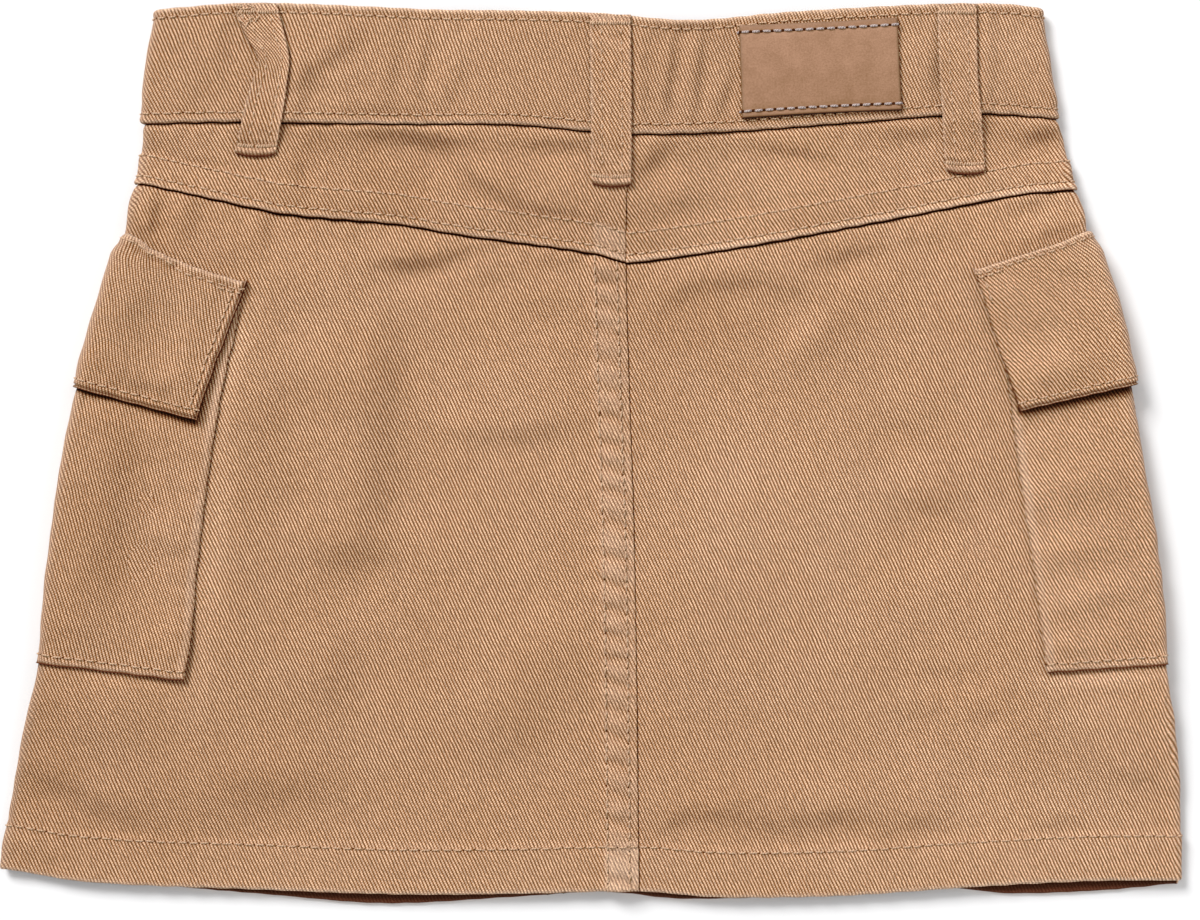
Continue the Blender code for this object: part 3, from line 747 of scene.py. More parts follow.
def shell_object(name: str, cut: Cut, material: Material) -> Thing:
    """A closed thin shell from a cut piece, with its flat places as a UV map and its marks as attributes.

    Args:
        name: The shell's name.
        cut: The cut piece.
        material: Its material.

    Returns:
        The shell.
    """
    rows, columns = cut.outer.shape[:2]
    count = rows * columns
    top = grid_faces(rows, columns)
    rim = np.concatenate((
        np.arange(columns), np.arange(1, rows) * columns + columns - 1,
        (rows - 1) * columns + np.arange(columns - 2, -1, -1), np.arange(rows - 2, 0, -1) * columns,
    ))
    ahead = np.roll(rim, -1)
    side = np.stack((rim, ahead, ahead + count, rim + count), axis=-1)
    faces = np.concatenate((top, top[:, ::-1] + count, side))
    points = np.concatenate((cut.outer.reshape(-1, 3), cut.inner.reshape(-1, 3)))
    a, b, c = (points[faces[:, i]] for i in (0, 1, 2))
    if (a * np.cross(b, c)).sum() + (a * np.cross(c, points[faces[:, 3]])).sum() < 0:
        faces = faces[:, ::-1]
    thing = mesh_object(name, points, faces, [material])
    flat = np.tile(cut.flat.reshape(-1, 2), (2, 1)) * MM
    layer = thing.data.uv_layers.new(name="cloth")
    layer.data.foreach_set("uv", flat[faces.ravel()].astype(np.float32).ravel())
    marks = {"wear": 0.0, "rim": 0.0, "row": 50.0, "edge": 0.0, "tone": 1.0} | cut.marks
    values = {label: np.tile(np.broadcast_to(mark, (rows, columns)).ravel(), 2)
              for label, mark in marks.items()}
    values["inside"] = np.repeat([0.0, 1.0], count)
    for label, value in values.items():
        attribute = thing.data.attributes.new(label, "FLOAT", "POINT")
        attribute.data.foreach_set("value", value.astype(np.float32))
    return thing


def lay(x_at: Line, y_at: Line, shape: tuple[int, int]) -> tuple[Array, Array]:
    """Places where lines down the cloth cross lines across it.

    Args:
        x_at: Places across at given heights.
        y_at: Heights at given places across.
        shape: How many rows and columns.

    Returns:
        The places across and the heights.
    """
    y = np.broadcast_to(y_at(x_at(np.zeros(shape))), shape)
    for _ in range(8):
        y = y_at(x_at(y))
    return x_at(y), y


# ---- sewing

AROUND = 8


class Thread(Enum):
    """Which thread a row is sewn with."""

    TAN = "tan"
    GREY = "grey"


@dataclass(frozen=True)
class StitchRow:
    """One row of topstitching."""

    points: Array
    normals: Array
    pitch: float = 3.4
    length: float = 2.6
    radius: float = 0.28
    thread: bool = True
    holes: bool = True
    hole: float = 0.3

    def mesh(self) -> tuple[Array, Array, Array]:
        """Builds the stitches and the needle holes between them.

        Returns:
            Points, faces, and a material index for each face: 0 for thread and 1 for a hole.
        """
        run = running(np.linalg.norm(np.diff(self.points, axis=0), axis=1))
        count = int(run[-1] // self.pitch)
        if count < 1:
            return np.zeros((0, 3)), np.zeros((0, 4), int), np.zeros(0, int)
        pitch = run[-1] / count
        starts = np.arange(count) * pitch + (pitch - self.length) / 2
        shares = np.array([0.0, 0.06, 0.2, 0.5, 0.8, 0.94, 1.0])
        heights = np.array([-0.14, 0.04, 0.19, 0.27, 0.19, 0.04, -0.14])
        widths = np.array([0.25, 0.72, 0.95, 1.0, 0.95, 0.72, 0.25]) * self.radius
        at = starts[:, None] + shares * self.length
        middle, up, _, aside = self._axes(run, at)
        sway = 0.12 * np.sin(starts * 12.9898)[:, None] * np.linspace(-1, 1, len(shares))
        middle = middle + up * heights[:, None] + aside * sway[..., None]
        angle = np.arange(AROUND) * 2 * math.pi / AROUND
        ring = (aside[:, :, None] * np.cos(angle)[:, None] + up[:, :, None] * np.sin(angle)[:, None])
        points = middle[:, :, None] + ring * widths[:, None, None]
        rings = len(shares)
        base = np.arange(count)[:, None, None] * rings * AROUND
        r, s = np.mgrid[0:rings - 1, 0:AROUND]
        here, there = r * AROUND + s, r * AROUND + (s + 1) % AROUND
        quads = np.stack((here, there, there + AROUND, here + AROUND), axis=-1).reshape(1, -1, 4) + base
        cap = np.array([[0, 3, 2, 1], [0, 5, 4, 3], [0, 7, 6, 5]])
        caps = np.concatenate((cap, cap[:, ::-1] + (rings - 1) * AROUND))[None] + base
        faces = np.concatenate((quads.reshape(-1, 4), caps.reshape(-1, 4)))
        points = points.reshape(-1, 3)
        if not self.holes:
            return points, faces, np.zeros(len(faces), int)
        if not self.thread:
            points, faces = points[:0], faces[:0]
        return self._with_holes(points, faces, run, pitch, count)

    def _with_holes(self, points: Array, faces: Array, run: Array, pitch: float,
                    count: int) -> tuple[Array, Array, Array]:
        """Adds a small dark pit at each end of each stitch.

        Args:
            points: The stitches' points.
            faces: Their faces.
            Adds a small pit at each end of each stitch, painted near-black as the shade in a needle hole.
            pitch: The even step.
            count: How many stitches.

        Returns:
            Points, faces, and a material index for each face.
        """
        at = np.arange(count + 1) * pitch
        middle, up, ahead, aside = self._axes(run, at)
        angle = np.arange(AROUND) * 2 * math.pi / AROUND
        size = self.hole + 0.07 * np.sin(at * 7.7)
        ring = ahead[:, None] * np.cos(angle)[:, None] * 1.15 + aside[:, None] * np.sin(angle)[:, None]
        low = middle[:, None] + ring * size[:, None, None] - up[:, None] * 0.08
        peak = middle[:, None] + ring * 0.5 * size[:, None, None] + up[:, None] * 0.09
        pits = np.concatenate((low, peak), axis=1).reshape(-1, 3)
        base = (len(points) + np.arange(count + 1) * 2 * AROUND)[:, None, None]
        here = np.arange(AROUND)
        there = (here + 1) % AROUND
        wall = np.stack((here, there, there + AROUND, here + AROUND), axis=-1)
        lids = np.array([[8, 9, 10, 11], [8, 11, 12, 13], [8, 13, 14, 15],
                         [3, 2, 1, 0], [5, 4, 3, 0], [7, 6, 5, 0]])
        holes = (np.concatenate((wall, lids))[None] + base).reshape(-1, 4)
        index = np.concatenate((np.zeros(len(faces), int), np.ones(len(holes), int)))
        return np.concatenate((points, pits)), np.concatenate((faces, holes)), index

    def _axes(self, run: Array, at: Array) -> tuple[Array, Array, Array, Array]:
        """Places along the row, with the directions up, ahead and aside.

        Args:
            run: Distances of the row's points.
            at: Distances to read.

        Returns:
            The places and the three directions.
        """
        middle, up = self._read(self.points, run, at), self._read(self.normals, run, at)
        up /= np.linalg.norm(up, axis=-1, keepdims=True)
        ahead = self._read(self.points, run, at + 0.4) - self._read(self.points, run, at - 0.4)
        ahead /= np.maximum(np.linalg.norm(ahead, axis=-1, keepdims=True), 1e-9)
        return middle, up, ahead, np.cross(ahead, up)

    @staticmethod
    def _read(values: Array, run: Array, at: Array) -> Array:
        """Values at distances along the row."""
        return np.stack([np.interp(at, run, values[:, i]) for i in range(3)], axis=-1)


def sew(name: str, rows: list[StitchRow], thread: Material, hole: Material) -> None:
    """Makes rows of stitches into one piece, pressed flat where they meet the floor.

    Args:
        name: The piece's name.
        rows: The rows.
        thread: The thread's material.
        hole: The needle holes' material.
    """
    points, faces, indices, count = [], [], [], 0
    for row in rows:
        p, f, i = row.mesh()
        points.append(p)
        faces.append(f + count)
        indices.append(i)
        count += len(p)
    sewn = np.concatenate(points)
    sewn[:, 2] = np.where(sewn[:, 2] < 0.1, 0.1 * np.exp((sewn[:, 2] - 0.1) / 0.3), sewn[:, 2])
    thing = mesh_object(name, sewn, np.concatenate(faces), [thread, hole], np.concatenate(indices))
    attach(thing, "root")
    LOG.info("%s: %d rows, %d faces", name, len(rows), sum(map(len, faces)))


def clip_path(points: Array, normals: Array, keep: Array) -> tuple[Array, Array]:
    """The part of a row's path where keep is true."""
    return points[keep], normals[keep]


@dataclass(frozen=True)
class StitchedEdge:
    """How cloth lies along a sewn edge: a full ridge, a groove under each row, puckers across."""

    rows: tuple[float, ...]
    groove: float = 0.24
    groove_width: float = 0.75
    pucker: float = 0.2
    pitch: float = 8.4
    reach: float = 6.0
    seed: float = 1.0

    def relief(self, away: Array, along: Array) -> Array:
        """What it adds to the outer face.

        Args:
            away: Distance from the finished edge.
            along: Distance along it.

        Returns:
            The added depth.
        """
        found = np.zeros(np.broadcast(away, along).shape)
        for row in self.rows:
            found -= self.groove * bell(away - row, self.groove_width)
        last = max(self.rows, default=0.0)
        waves = ripple(along + 0.25 * away, self.pitch, self.seed)
        fine = ripple(along, self.pitch * 0.43, self.seed + 9)
        fade = np.where(away < last, 0.35 + 0.65 * np.clip(away / max(last, 0.01), 0, 1),
                        bell(away - last, self.reach))
        return found + fade * (self.pucker * waves + 0.35 * self.pucker * fine)


# ---- finishes

class Nodes:
    """Places and joins the nodes of one material or group."""

    def __init__(self, tree: Tree) -> None:
        """Starts on a tree."""
        self.tree = tree

    @classmethod
    def for_material(cls, name: str) -> tuple[Material, "Nodes", Node]:
        """A new material, its Nodes and its shader.

        Args:
            name: The material's name.

        Returns:
            The three.
        """
        made = bpy.data.materials.new(name)
        made.use_nodes = True
        return made, cls(made.node_tree), made.node_tree.nodes["Principled BSDF"]

    def join(self, node: Node, inputs: dict) -> None:
        """Joins a socket, or sets a value or colour, at each of a node's inputs by name or number.

        Args:
            node: The node.
            inputs: What each input gets.
        """
        for key, value in inputs.items():
            socket = node.inputs[key]
            if isinstance(value, Socket):
                self.tree.links.new(value, socket)
            else:
                socket.default_value = (*value, 1.0) if socket.type == "RGBA" else value

    def add(self, kind: str, inputs: dict | None = None, **settings: object) -> Node:
        """Adds a node.

        Args:
            kind: The node's type, after ShaderNode.
            inputs: A value, or a socket to join, for each input by name or number.
            settings: The node's own settings.

        Returns:
            The node.
        """
        node = self.tree.nodes.new("ShaderNode" + kind)
        for key, value in settings.items():
            setattr(node, key, value)
        self.join(node, inputs or {})
        return node

    def maths(self, operation: str, a: object, b: object = 0.0) -> Socket:
        """The result of a Math node."""
        return self.add("Math", {0: a, 1: b}, operation=operation).outputs[0]

    def plus(self, a: object, b: object) -> Socket:
        """A sum."""
        return self.maths("ADD", a, b)

    def times(self, a: object, b: object) -> Socket:
        """A product."""
        return self.maths("MULTIPLY", a, b)

    def blend(self, factor: object, a: object, b: object, how: str = "MIX") -> Socket:
        """The result of mixing two colours."""
        return self.add("Mix", {"Factor": factor, 6: a, 7: b}, data_type="RGBA", blend_type=how).outputs[2]

    def group(self, tree: Tree, inputs: dict) -> bpy.types.bpy_prop_collection:
        """A group's outputs, from these inputs."""
        return self.add("Group", inputs, node_tree=tree).outputs

    def shaded(self, colour: object, shares: dict) -> Socket:
        """A colour times a share for each of its channels."""
        return self.blend(1.0, colour, self.add("CombineColor", shares).outputs[0], "MULTIPLY")

    def toned(self, colour: object, tone: object) -> Socket:
        """A colour times a tone: warmer where it is dark, paler where it is light."""
        green, blue = (self.maths("POWER", tone, power) for power in (1.2, 1.4))
        return self.shaded(colour, {0: tone, 1: green, 2: blue})

    def noise(self, vector: object, scale: float, detail: float = 2.0, rough: float = 0.5) -> Socket:
        """Noise between 0 and 1."""
        inputs = {"Vector": vector, "Scale": scale, "Detail": detail, "Roughness": rough}
        return self.add("TexNoise", inputs).outputs["Fac"]

    def wave(self, turns: object) -> Socket:
        """A smooth wave between 0 and 1, once for each whole turn."""
        return self.plus(self.times(self.maths("SINE", self.times(turns, math.tau)), 0.5), 0.5)

    def spread(self, value: object, low: float, high: float, to_low: float = 0.0,
               to_high: float = 1.0) -> Socket:
        """A value's range carried over to another, smoothly and clamped."""
        inputs = {"Value": value, 1: low, 2: high, 3: to_low, 4: to_high}
        return self.add("MapRange", inputs, interpolation_type="SMOOTHSTEP").outputs["Result"]

    def flat_place(self) -> Socket:
        """The cloth's flat place, in millimetres."""
        flat = self.add("UVMap", uv_map="cloth").outputs[0]
        return self.add("VectorMath", {0: flat, 1: (1 / MM,) * 3}, operation="MULTIPLY").outputs[0]

    def mark(self, label: str) -> Socket:
        """A mark on the cloth."""
        return self.add("Attribute", attribute_name=label, attribute_type="GEOMETRY").outputs["Fac"]

    def bump(self, strength: float, distance: float, height: object) -> Socket:
        """Normals over a height."""
        return self.add("Bump", {"Strength": strength, "Distance": distance, "Height": height}).outputs[0]


def new_group(name: str, inputs: dict[str, float | None], outputs: tuple[str, ...]) -> tuple:
    """An empty shader group.

    Args:
        name: The group's name.
        inputs: Each float input's default, or None for a vector.
        outputs: Each float output's name.

    Returns:
        The group, its Nodes, its inputs by name and its output node.
    """
    tree = bpy.data.node_groups.new(name, "ShaderNodeTree")
    for label, default in inputs.items():
        kind = "NodeSocketVector" if default is None else "NodeSocketFloat"
        socket = tree.interface.new_socket(name=label, in_out="INPUT", socket_type=kind)
        if default is not None:
            socket.default_value = default
    for label in outputs:
        tree.interface.new_socket(name=label, in_out="OUTPUT", socket_type="NodeSocketFloat")
    given = tree.nodes.new("NodeGroupInput").outputs
    return tree, Nodes(tree), given, tree.nodes.new("NodeGroupOutput")


def weave_group() -> Tree:
    """Three-up-one-down twill. Its Vector is the cloth's flat place in millimetres.

    Wales climb one end for each pick, so a wale's phase grows along both ways of the cloth.

    Returns:
        The group.
    """
    tree, nodes, given, made = new_group(
        "twill_weave", {"Vector": None, "Grain": 0.0, "Waver": 0.8}, ("Height", "Wale", "Slub"))
    place = given["Vector"]
    turn = {"Vector": place, "Angle": given["Grain"]}
    turned = nodes.add("VectorRotate", turn, rotation_type="Z_AXIS").outputs[0]
    parts = nodes.add("SeparateXYZ", {0: turned}).outputs
    sway = nodes.times(nodes.maths("SUBTRACT", nodes.noise(place, 0.09, 3, 0.6), 0.5), given["Waver"])
    ends = nodes.maths("DIVIDE", nodes.plus(parts[0], sway), 1.07)
    picks = nodes.maths("DIVIDE", parts[1], 2.29)
    climb = nodes.plus(ends, picks)
    crossing = nodes.wave(nodes.maths("SUBTRACT", nodes.times(picks, 3.0), ends))
    wale_number = nodes.maths("FLOOR", climb)
    float_number = nodes.maths("FLOOR", nodes.plus(nodes.times(picks, 2.4), nodes.times(wale_number, 0.37)))
    cell = nodes.add("CombineXYZ", {0: wale_number, 1: float_number}).outputs[0]
    yarn = nodes.add("TexWhiteNoise", {"Vector": cell}, noise_dimensions="2D").outputs["Value"]
    streak = nodes.add("CombineXYZ", {0: climb, 1: nodes.times(parts[1], 0.07)}).outputs[0]
    slub = nodes.plus(nodes.times(nodes.noise(streak, 1.0, 2, 0.6), 0.2), nodes.times(yarn, 0.26))
    beside = [nodes.noise(nodes.add("VectorMath", {0: place, 1: (way * 0.48, way * 0.26, 0.0)},
                                    operation="ADD").outputs[0], 1.3, 1, 0.6) for way in (-1, 1)]
    fuzz = nodes.maths("SUBTRACT", nodes.noise(place, 1.3, 1, 0.6), nodes.times(nodes.plus(*beside), 0.5))
    slub = nodes.plus(nodes.plus(slub, 0.52), nodes.times(fuzz, 1.9))
    ridge = nodes.times(nodes.wave(climb), nodes.plus(nodes.times(crossing, 0.72), 0.28))
    nodes.join(made, {"Height": nodes.plus(ridge, nodes.times(slub, 0.15)), "Wale": ridge, "Slub": slub})
    return tree


def row_group() -> Tree:
    """Shade is 1 right at a stitched row: painted shade in the groove where the thread pulls the cloth down.

    Returns:
        The group.
    """
    tree, nodes, given, made = new_group("stitched_row", {"Away": 50.0}, ("Shade",))
    nodes.join(made, {"Shade": nodes.spread(nodes.maths("ABSOLUTE", given["Away"]), 0.1, 0.7, 1.0, 0.0)})
    return tree


def tone_group() -> Tree:
    """Washed cloth's patches: Fade is 0 to 1 over broad blotches, Rub is where its edges have worn pale.

    Returns:
        The group.
    """
    tree, nodes, given, made = new_group(
        "washed_tone", {"Vector": None, "Wear": 0.0, "Slub": 0.5}, ("Fade", "Rub", "Nap"))
    place = given["Vector"]
    broad = nodes.spread(nodes.noise(place, 0.035, 4, 0.62), 0.3, 0.72)
    fade = nodes.plus(nodes.times(broad, 0.7), nodes.times(nodes.noise(place, 1.3, 2, 0.5), 0.3))
    uneven = nodes.times(nodes.maths("SUBTRACT", given["Slub"], 0.75), 0.15)
    rub = nodes.spread(nodes.plus(given["Wear"], uneven), 0.1, 1.1)
    nodes.join(made, {"Fade": fade, "Rub": rub, "Nap": nodes.noise(place, 3.2, 2, 0.7)})
    return tree


@dataclass(frozen=True)
class TwillFinish:
    """Washed cotton twill: its colours, the turn of its grain in degrees, and its tint. Its near-black colour
    is its wrong side and painted shade.
    """

    name: str
    grain: float = 0.0
    tint: float = 1.0
    light: Colour = (0.826, 0.554, 0.361)
    dark: Colour = (0.185, 0.058, 0.0155)
    reverse_and_shade: Colour = (0.090, 0.031, 0.016)

    def tinted(self, colour: Colour, *shares: float) -> Colour:
        """A colour times the tint, and times a share for each channel."""
        return tuple(part * self.tint * share for part, share in zip(colour, shares or (1, 1, 1)))

    def material(self, weave: Tree, tone: Tree,
                 row: Tree) -> Material:
        """Builds the material.

        Args:
            weave: The twill group.
            tone: The washed tone group.
            row: The stitched row group.

        Returns:
            The material.
        """
        made, nodes, shader = Nodes.for_material(self.name)
        place, light = nodes.flat_place(), self.tinted(self.light)
        mark = {label: nodes.mark(label) for label in ("wear", "rim", "row", "edge", "tone", "inside")}
        woven = nodes.group(weave, {"Vector": place, "Grain": -math.radians(self.grain)})
        aged = nodes.group(tone, {"Vector": place, "Wear": mark["wear"], "Slub": woven["Slub"]})
        row_shade = nodes.group(row, {"Away": mark["row"]})
        ridge = nodes.blend(aged["Fade"], self.tinted(self.light, 0.95, 0.92, 0.88), light)
        rub = nodes.times(aged["Rub"], 0.7)
        ridge = nodes.blend(rub, ridge, self.tinted(self.light, 1.05, 1.10, 1.16))
        furrow = nodes.blend(rub, self.tinted(self.dark), self.tinted(self.light, 0.62, 0.60, 0.62))
        colour = nodes.blend(nodes.spread(woven["Wale"], 0.0, 0.62), furrow, ridge)
        shade = nodes.spread(woven["Slub"], 0.2, 1.3, 0.68, 1.30)
        colour = nodes.shaded(colour, {0: shade, 1: shade, 2: shade})
        # Painted shade along each stitched row.
        colour = nodes.blend(nodes.times(row_shade["Shade"], 0.22), colour, self.dark)
        # Painted dull sheen at the fold's rim.
        colour = nodes.blend(nodes.times(mark["rim"], 0.6), colour, self.tinted(self.light, 0.51, 0.51, 0.55))
        colour = nodes.toned(colour, mark["tone"])
        # Painted shade: the edge mark darkens shaded edges toward the near-black colour.
        colour = nodes.blend(mark["edge"], colour, self.reverse_and_shade)
        # Inner faces take the near-black colour: the wrong side, darkened as painted shade of the hollow
        # inside.
        colour = nodes.blend(nodes.times(mark["inside"], 0.92), colour, self.reverse_and_shade)
        lift = nodes.plus(woven["Height"], nodes.times(aged["Nap"], 0.12))
        # Sheen and specular fade out where edge shade is painted.
        unshaded_cloth = nodes.maths("SUBTRACT", 1.0, mark["edge"])
        nodes.join(shader, {
            "Base Color": colour, "Roughness": nodes.spread(aged["Nap"], 0.2, 0.8, 0.78, 0.95),
            "Normal": nodes.bump(0.8, 0.00018, lift), "Specular IOR Level": nodes.times(unshaded_cloth, 0.15),
            "Sheen Weight": nodes.times(unshaded_cloth, 0.18), "Sheen Roughness": 0.45})
        return made


@dataclass(frozen=True)
class ThreadFinish:
    """Spun sewing thread, with its twist."""

    name: str
    light: Colour
    dark: Colour

    def material(self) -> Material:
        """Builds the material.

        Returns:
            The material.
        """
        made, nodes, shader = Nodes.for_material(self.name)
        place = nodes.add("TexCoord").outputs["Object"]
        turned = nodes.add("Mapping", {"Vector": place, "Rotation": (0.6, 0.4, 0.8)}).outputs[0]
        plies = {"Vector": turned, "Scale": 620.0, "Distortion": 1.2, "Detail": 1.0}
        twist = nodes.add("TexWave", plies).outputs["Fac"]
        lint = nodes.noise(place, 900.0, 2, 0.6)
        nodes.join(shader, {
            "Base Color": nodes.blend(nodes.spread(nodes.plus(twist, lint), 0.5, 1.4), self.dark, self.light),
            "Normal": nodes.bump(0.7, 0.00008, twist), "Roughness": nodes.spread(lint, 0.2, 0.8, 0.55, 0.8),
            "Specular IOR Level": 0.3, "Sheen Weight": 0.15})
        return made


@dataclass(frozen=True)
class HoleShadeFinish:
    """Painted shade: the near-black of a needle hole."""

    name: str = "needle_hole_shade"
    colour: Colour = (0.045, 0.020, 0.010)

    def material(self) -> Material:
        """Builds the material.

        Returns:
            The material.
        """
        made, nodes, shader = Nodes.for_material(self.name)
        place = nodes.add("TexCoord").outputs["Object"]
        colour = nodes.blend(nodes.noise(place, 700.0), self.colour, tuple(c * 1.8 for c in self.colour))
        nodes.join(shader, {"Base Color": colour, "Roughness": 1.0, "Specular IOR Level": 0.0})
        return made


@dataclass(frozen=True)
class LeatherFinish:
    """Smooth matt leather with a fine grain, rubbed edges, and painted shade along its bottom edge."""

    name: str = "patch_leather"
    light: Colour = (0.420, 0.230, 0.132)
    dark: Colour = (0.270, 0.133, 0.070)

    def material(self) -> Material:
        """Builds the material.

        Returns:
            The material.
        """
        made, nodes, shader = Nodes.for_material(self.name)
        place = nodes.flat_place()
        pores = nodes.add("TexVoronoi", {"Vector": place, "Scale": 2.4}, feature="F1").outputs["Distance"]
        grain = nodes.noise(place, 1.6, 4, 0.7)
        tone = nodes.plus(nodes.times(nodes.noise(place, 0.16, 4, 0.6), 0.45), nodes.times(grain, 0.7))
        colour = nodes.blend(nodes.spread(tone, 0.35, 0.85), self.dark, self.light)
        pits = nodes.spread(pores, 0.02, 0.22)
        colour = nodes.blend(nodes.times(nodes.maths("SUBTRACT", 1.0, pits), 0.35), colour, self.dark)
        # The wear mark darkens rubbed edges, and along the bottom edge it is painted shade.
        colour = nodes.blend(nodes.mark("wear"), colour, tuple(c * 0.15 for c in self.dark))
        nodes.join(shader, {
            "Base Color": nodes.toned(colour, nodes.mark("tone")),
            "Roughness": nodes.spread(grain, 0.3, 0.7, 0.5, 0.68), "Specular IOR Level": 0.35,
            "Normal": nodes.bump(0.5, 0.00012, nodes.plus(nodes.times(pits, 0.5), grain))})
        return made


@dataclass(frozen=True)
class PlasticFinish:
    """The button's marbled brown plastic."""

    name: str = "button_plastic"
    light: Colour = (0.330, 0.190, 0.105)
    dark: Colour = (0.120, 0.055, 0.028)

    def material(self) -> Material:
        """Builds the material.

        Returns:
            The material.
        """
        made, nodes, shader = Nodes.for_material(self.name)
        place = nodes.add("TexCoord").outputs["Object"]
        marble = {"Vector": place, "Scale": 190.0, "Detail": 4.0, "Distortion": 2.5}
        swirl = nodes.add("TexNoise", marble).outputs["Fac"]
        nodes.join(shader, {
            "Base Color": nodes.blend(nodes.spread(swirl, 0.35, 0.7), self.dark, self.light),
            "Roughness": nodes.spread(nodes.noise(place, 900.0), 0.3, 0.7, 0.28, 0.42)})
        return made


@dataclass(frozen=True)
class FloorFinish:
    """A plain pale sweep."""

    name: str = "studio_floor"
    colour: Colour = (0.93, 0.93, 0.935)

    def material(self) -> Material:
        """Builds the material.

        Returns:
            The material.
        """
        made, nodes, shader = Nodes.for_material(self.name)
        nodes.join(shader, {"Base Color": self.colour, "Roughness": 1.0, "Specular IOR Level": 0.0})
        return made


@dataclass
class Wardrobe:
    """Every material of the skirt, made once."""

    twill: dict[str, Material] = field(default_factory=dict)
    thread: dict[Thread, Material] = field(default_factory=dict)
    hole: Material | None = None
    leather: Material | None = None
    plastic: Material | None = None

    def fill(self) -> None:
        """Builds them all."""
        groups = weave_group(), tone_group(), row_group()
        for finish in (
            TwillFinish("panel_twill"),
            TwillFinish("yoke_left_twill", grain=3.0),
            TwillFinish("yoke_right_twill", grain=8.5),
            TwillFinish("band_twill", tint=0.96),
            TwillFinish("pocket_left_twill"),
            TwillFinish("pocket_right_twill"),
            TwillFinish("flap_left_twill", tint=0.98),
            TwillFinish("flap_right_twill", grain=6.0),
            TwillFinish("loop_twill", grain=3.0),
        ):
            self.twill[finish.name] = finish.material(*groups)
        tan = ThreadFinish("tan_thread", (0.74, 0.52, 0.345), (0.34, 0.17, 0.08))
        grey = ThreadFinish("grey_thread", (0.56, 0.47, 0.44), (0.22, 0.16, 0.15))
        self.thread = {Thread.TAN: tan.material(), Thread.GREY: grey.material()}
        self.hole = HoleShadeFinish().material()
        self.leather = LeatherFinish().material()
        self.plastic = PlasticFinish().material()


# ---- the pieces

@dataclass
class Piece:
    """A cut piece of the skirt, with what all of them share."""

    form: Form
    wardrobe: Wardrobe

    def dress(self, name: str, node: str, cut: Cut, twill: str, slot: str, rests_on: list[str]) -> None:
        """Makes a cut's shell stand for its node.

        Args:
            name: The piece's name.
            node: The node it replaces.
            cut: The cut piece.
            twill: The name of its twill.
            slot: Its material slot in the record; not used.
            rests_on: The nodes it lies on; not used.
        """
        shell = shell_object(name, cut, self.wardrobe.twill[twill])
        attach(shell, "root")
        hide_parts(node)
        width, length, area = cut.size()
        LOG.info("%s: %.0f x %.0f mm, %.4f m2, %d faces", name, width / MM, length / MM, area,
                 len(shell.data.polygons))

    def stitch(self, name: str, rows: list[StitchRow], slot: str, thread: Thread = Thread.TAN) -> None:
        """Sews rows onto the piece."""
        sew(name, rows, self.wardrobe.thread[thread], self.wardrobe.hole)


@dataclass
class HalfPiece(Piece):
    """A piece from a middle seam round to a side seam, its cloth reaching a little round the fold."""

    side: Side = FORM.left
    fell_width: float = 10.5
    fell_extra: float = 0.6
    seam_gap: float = 0.06
    arc_steps: int = 10
    fold_reach: float = 1.8

    def _columns(self, across: Array) -> tuple[Array, Array, Array]:
        """Its columns across and round the fold: shares of the way to it, turns, and what is left to go.

        Args:
            across: Shares of the way from the middle seam to the fold.

        Returns:
            The shares, the turns in degrees, and the cloth left round the fold.
        """
        end = 90 - self.form.seam_angle
        arc = np.linspace(0, end, self.arc_steps + 1)[1:]
        share = np.concatenate((across, np.ones(len(arc))))
        turn = np.concatenate((np.zeros(len(across)), arc))
        return share, turn, (fold_run(end) - fold_run(turn)) * self.fold_reach

    def _fell_wall(self, from_seam: Array) -> Array:
        """What the felled seam's strip adds to the wall."""
        return self.fell_extra * ramp(from_seam - self.fell_width, 0.9)

    def _rim_sheen(self, turn: Array, from_fold: Array) -> Array:
        """The painted dull sheen along the fold's rim."""
        out = fold_shares(turn)[0]
        return self.side.rim * bell(from_fold + self.fold_reach * (1 - out), self.fold_reach)

    @staticmethod
    def _roll(edges: tuple[Array, ...], radius: float, from_seam: Array) -> Array:
        """The share of the wall left where it rolls off at its edges, and a little at the middle seam."""
        return edge_roll(edges, radius) * mix(1.0, edge_roll((from_seam,), 0.4), 0.45)


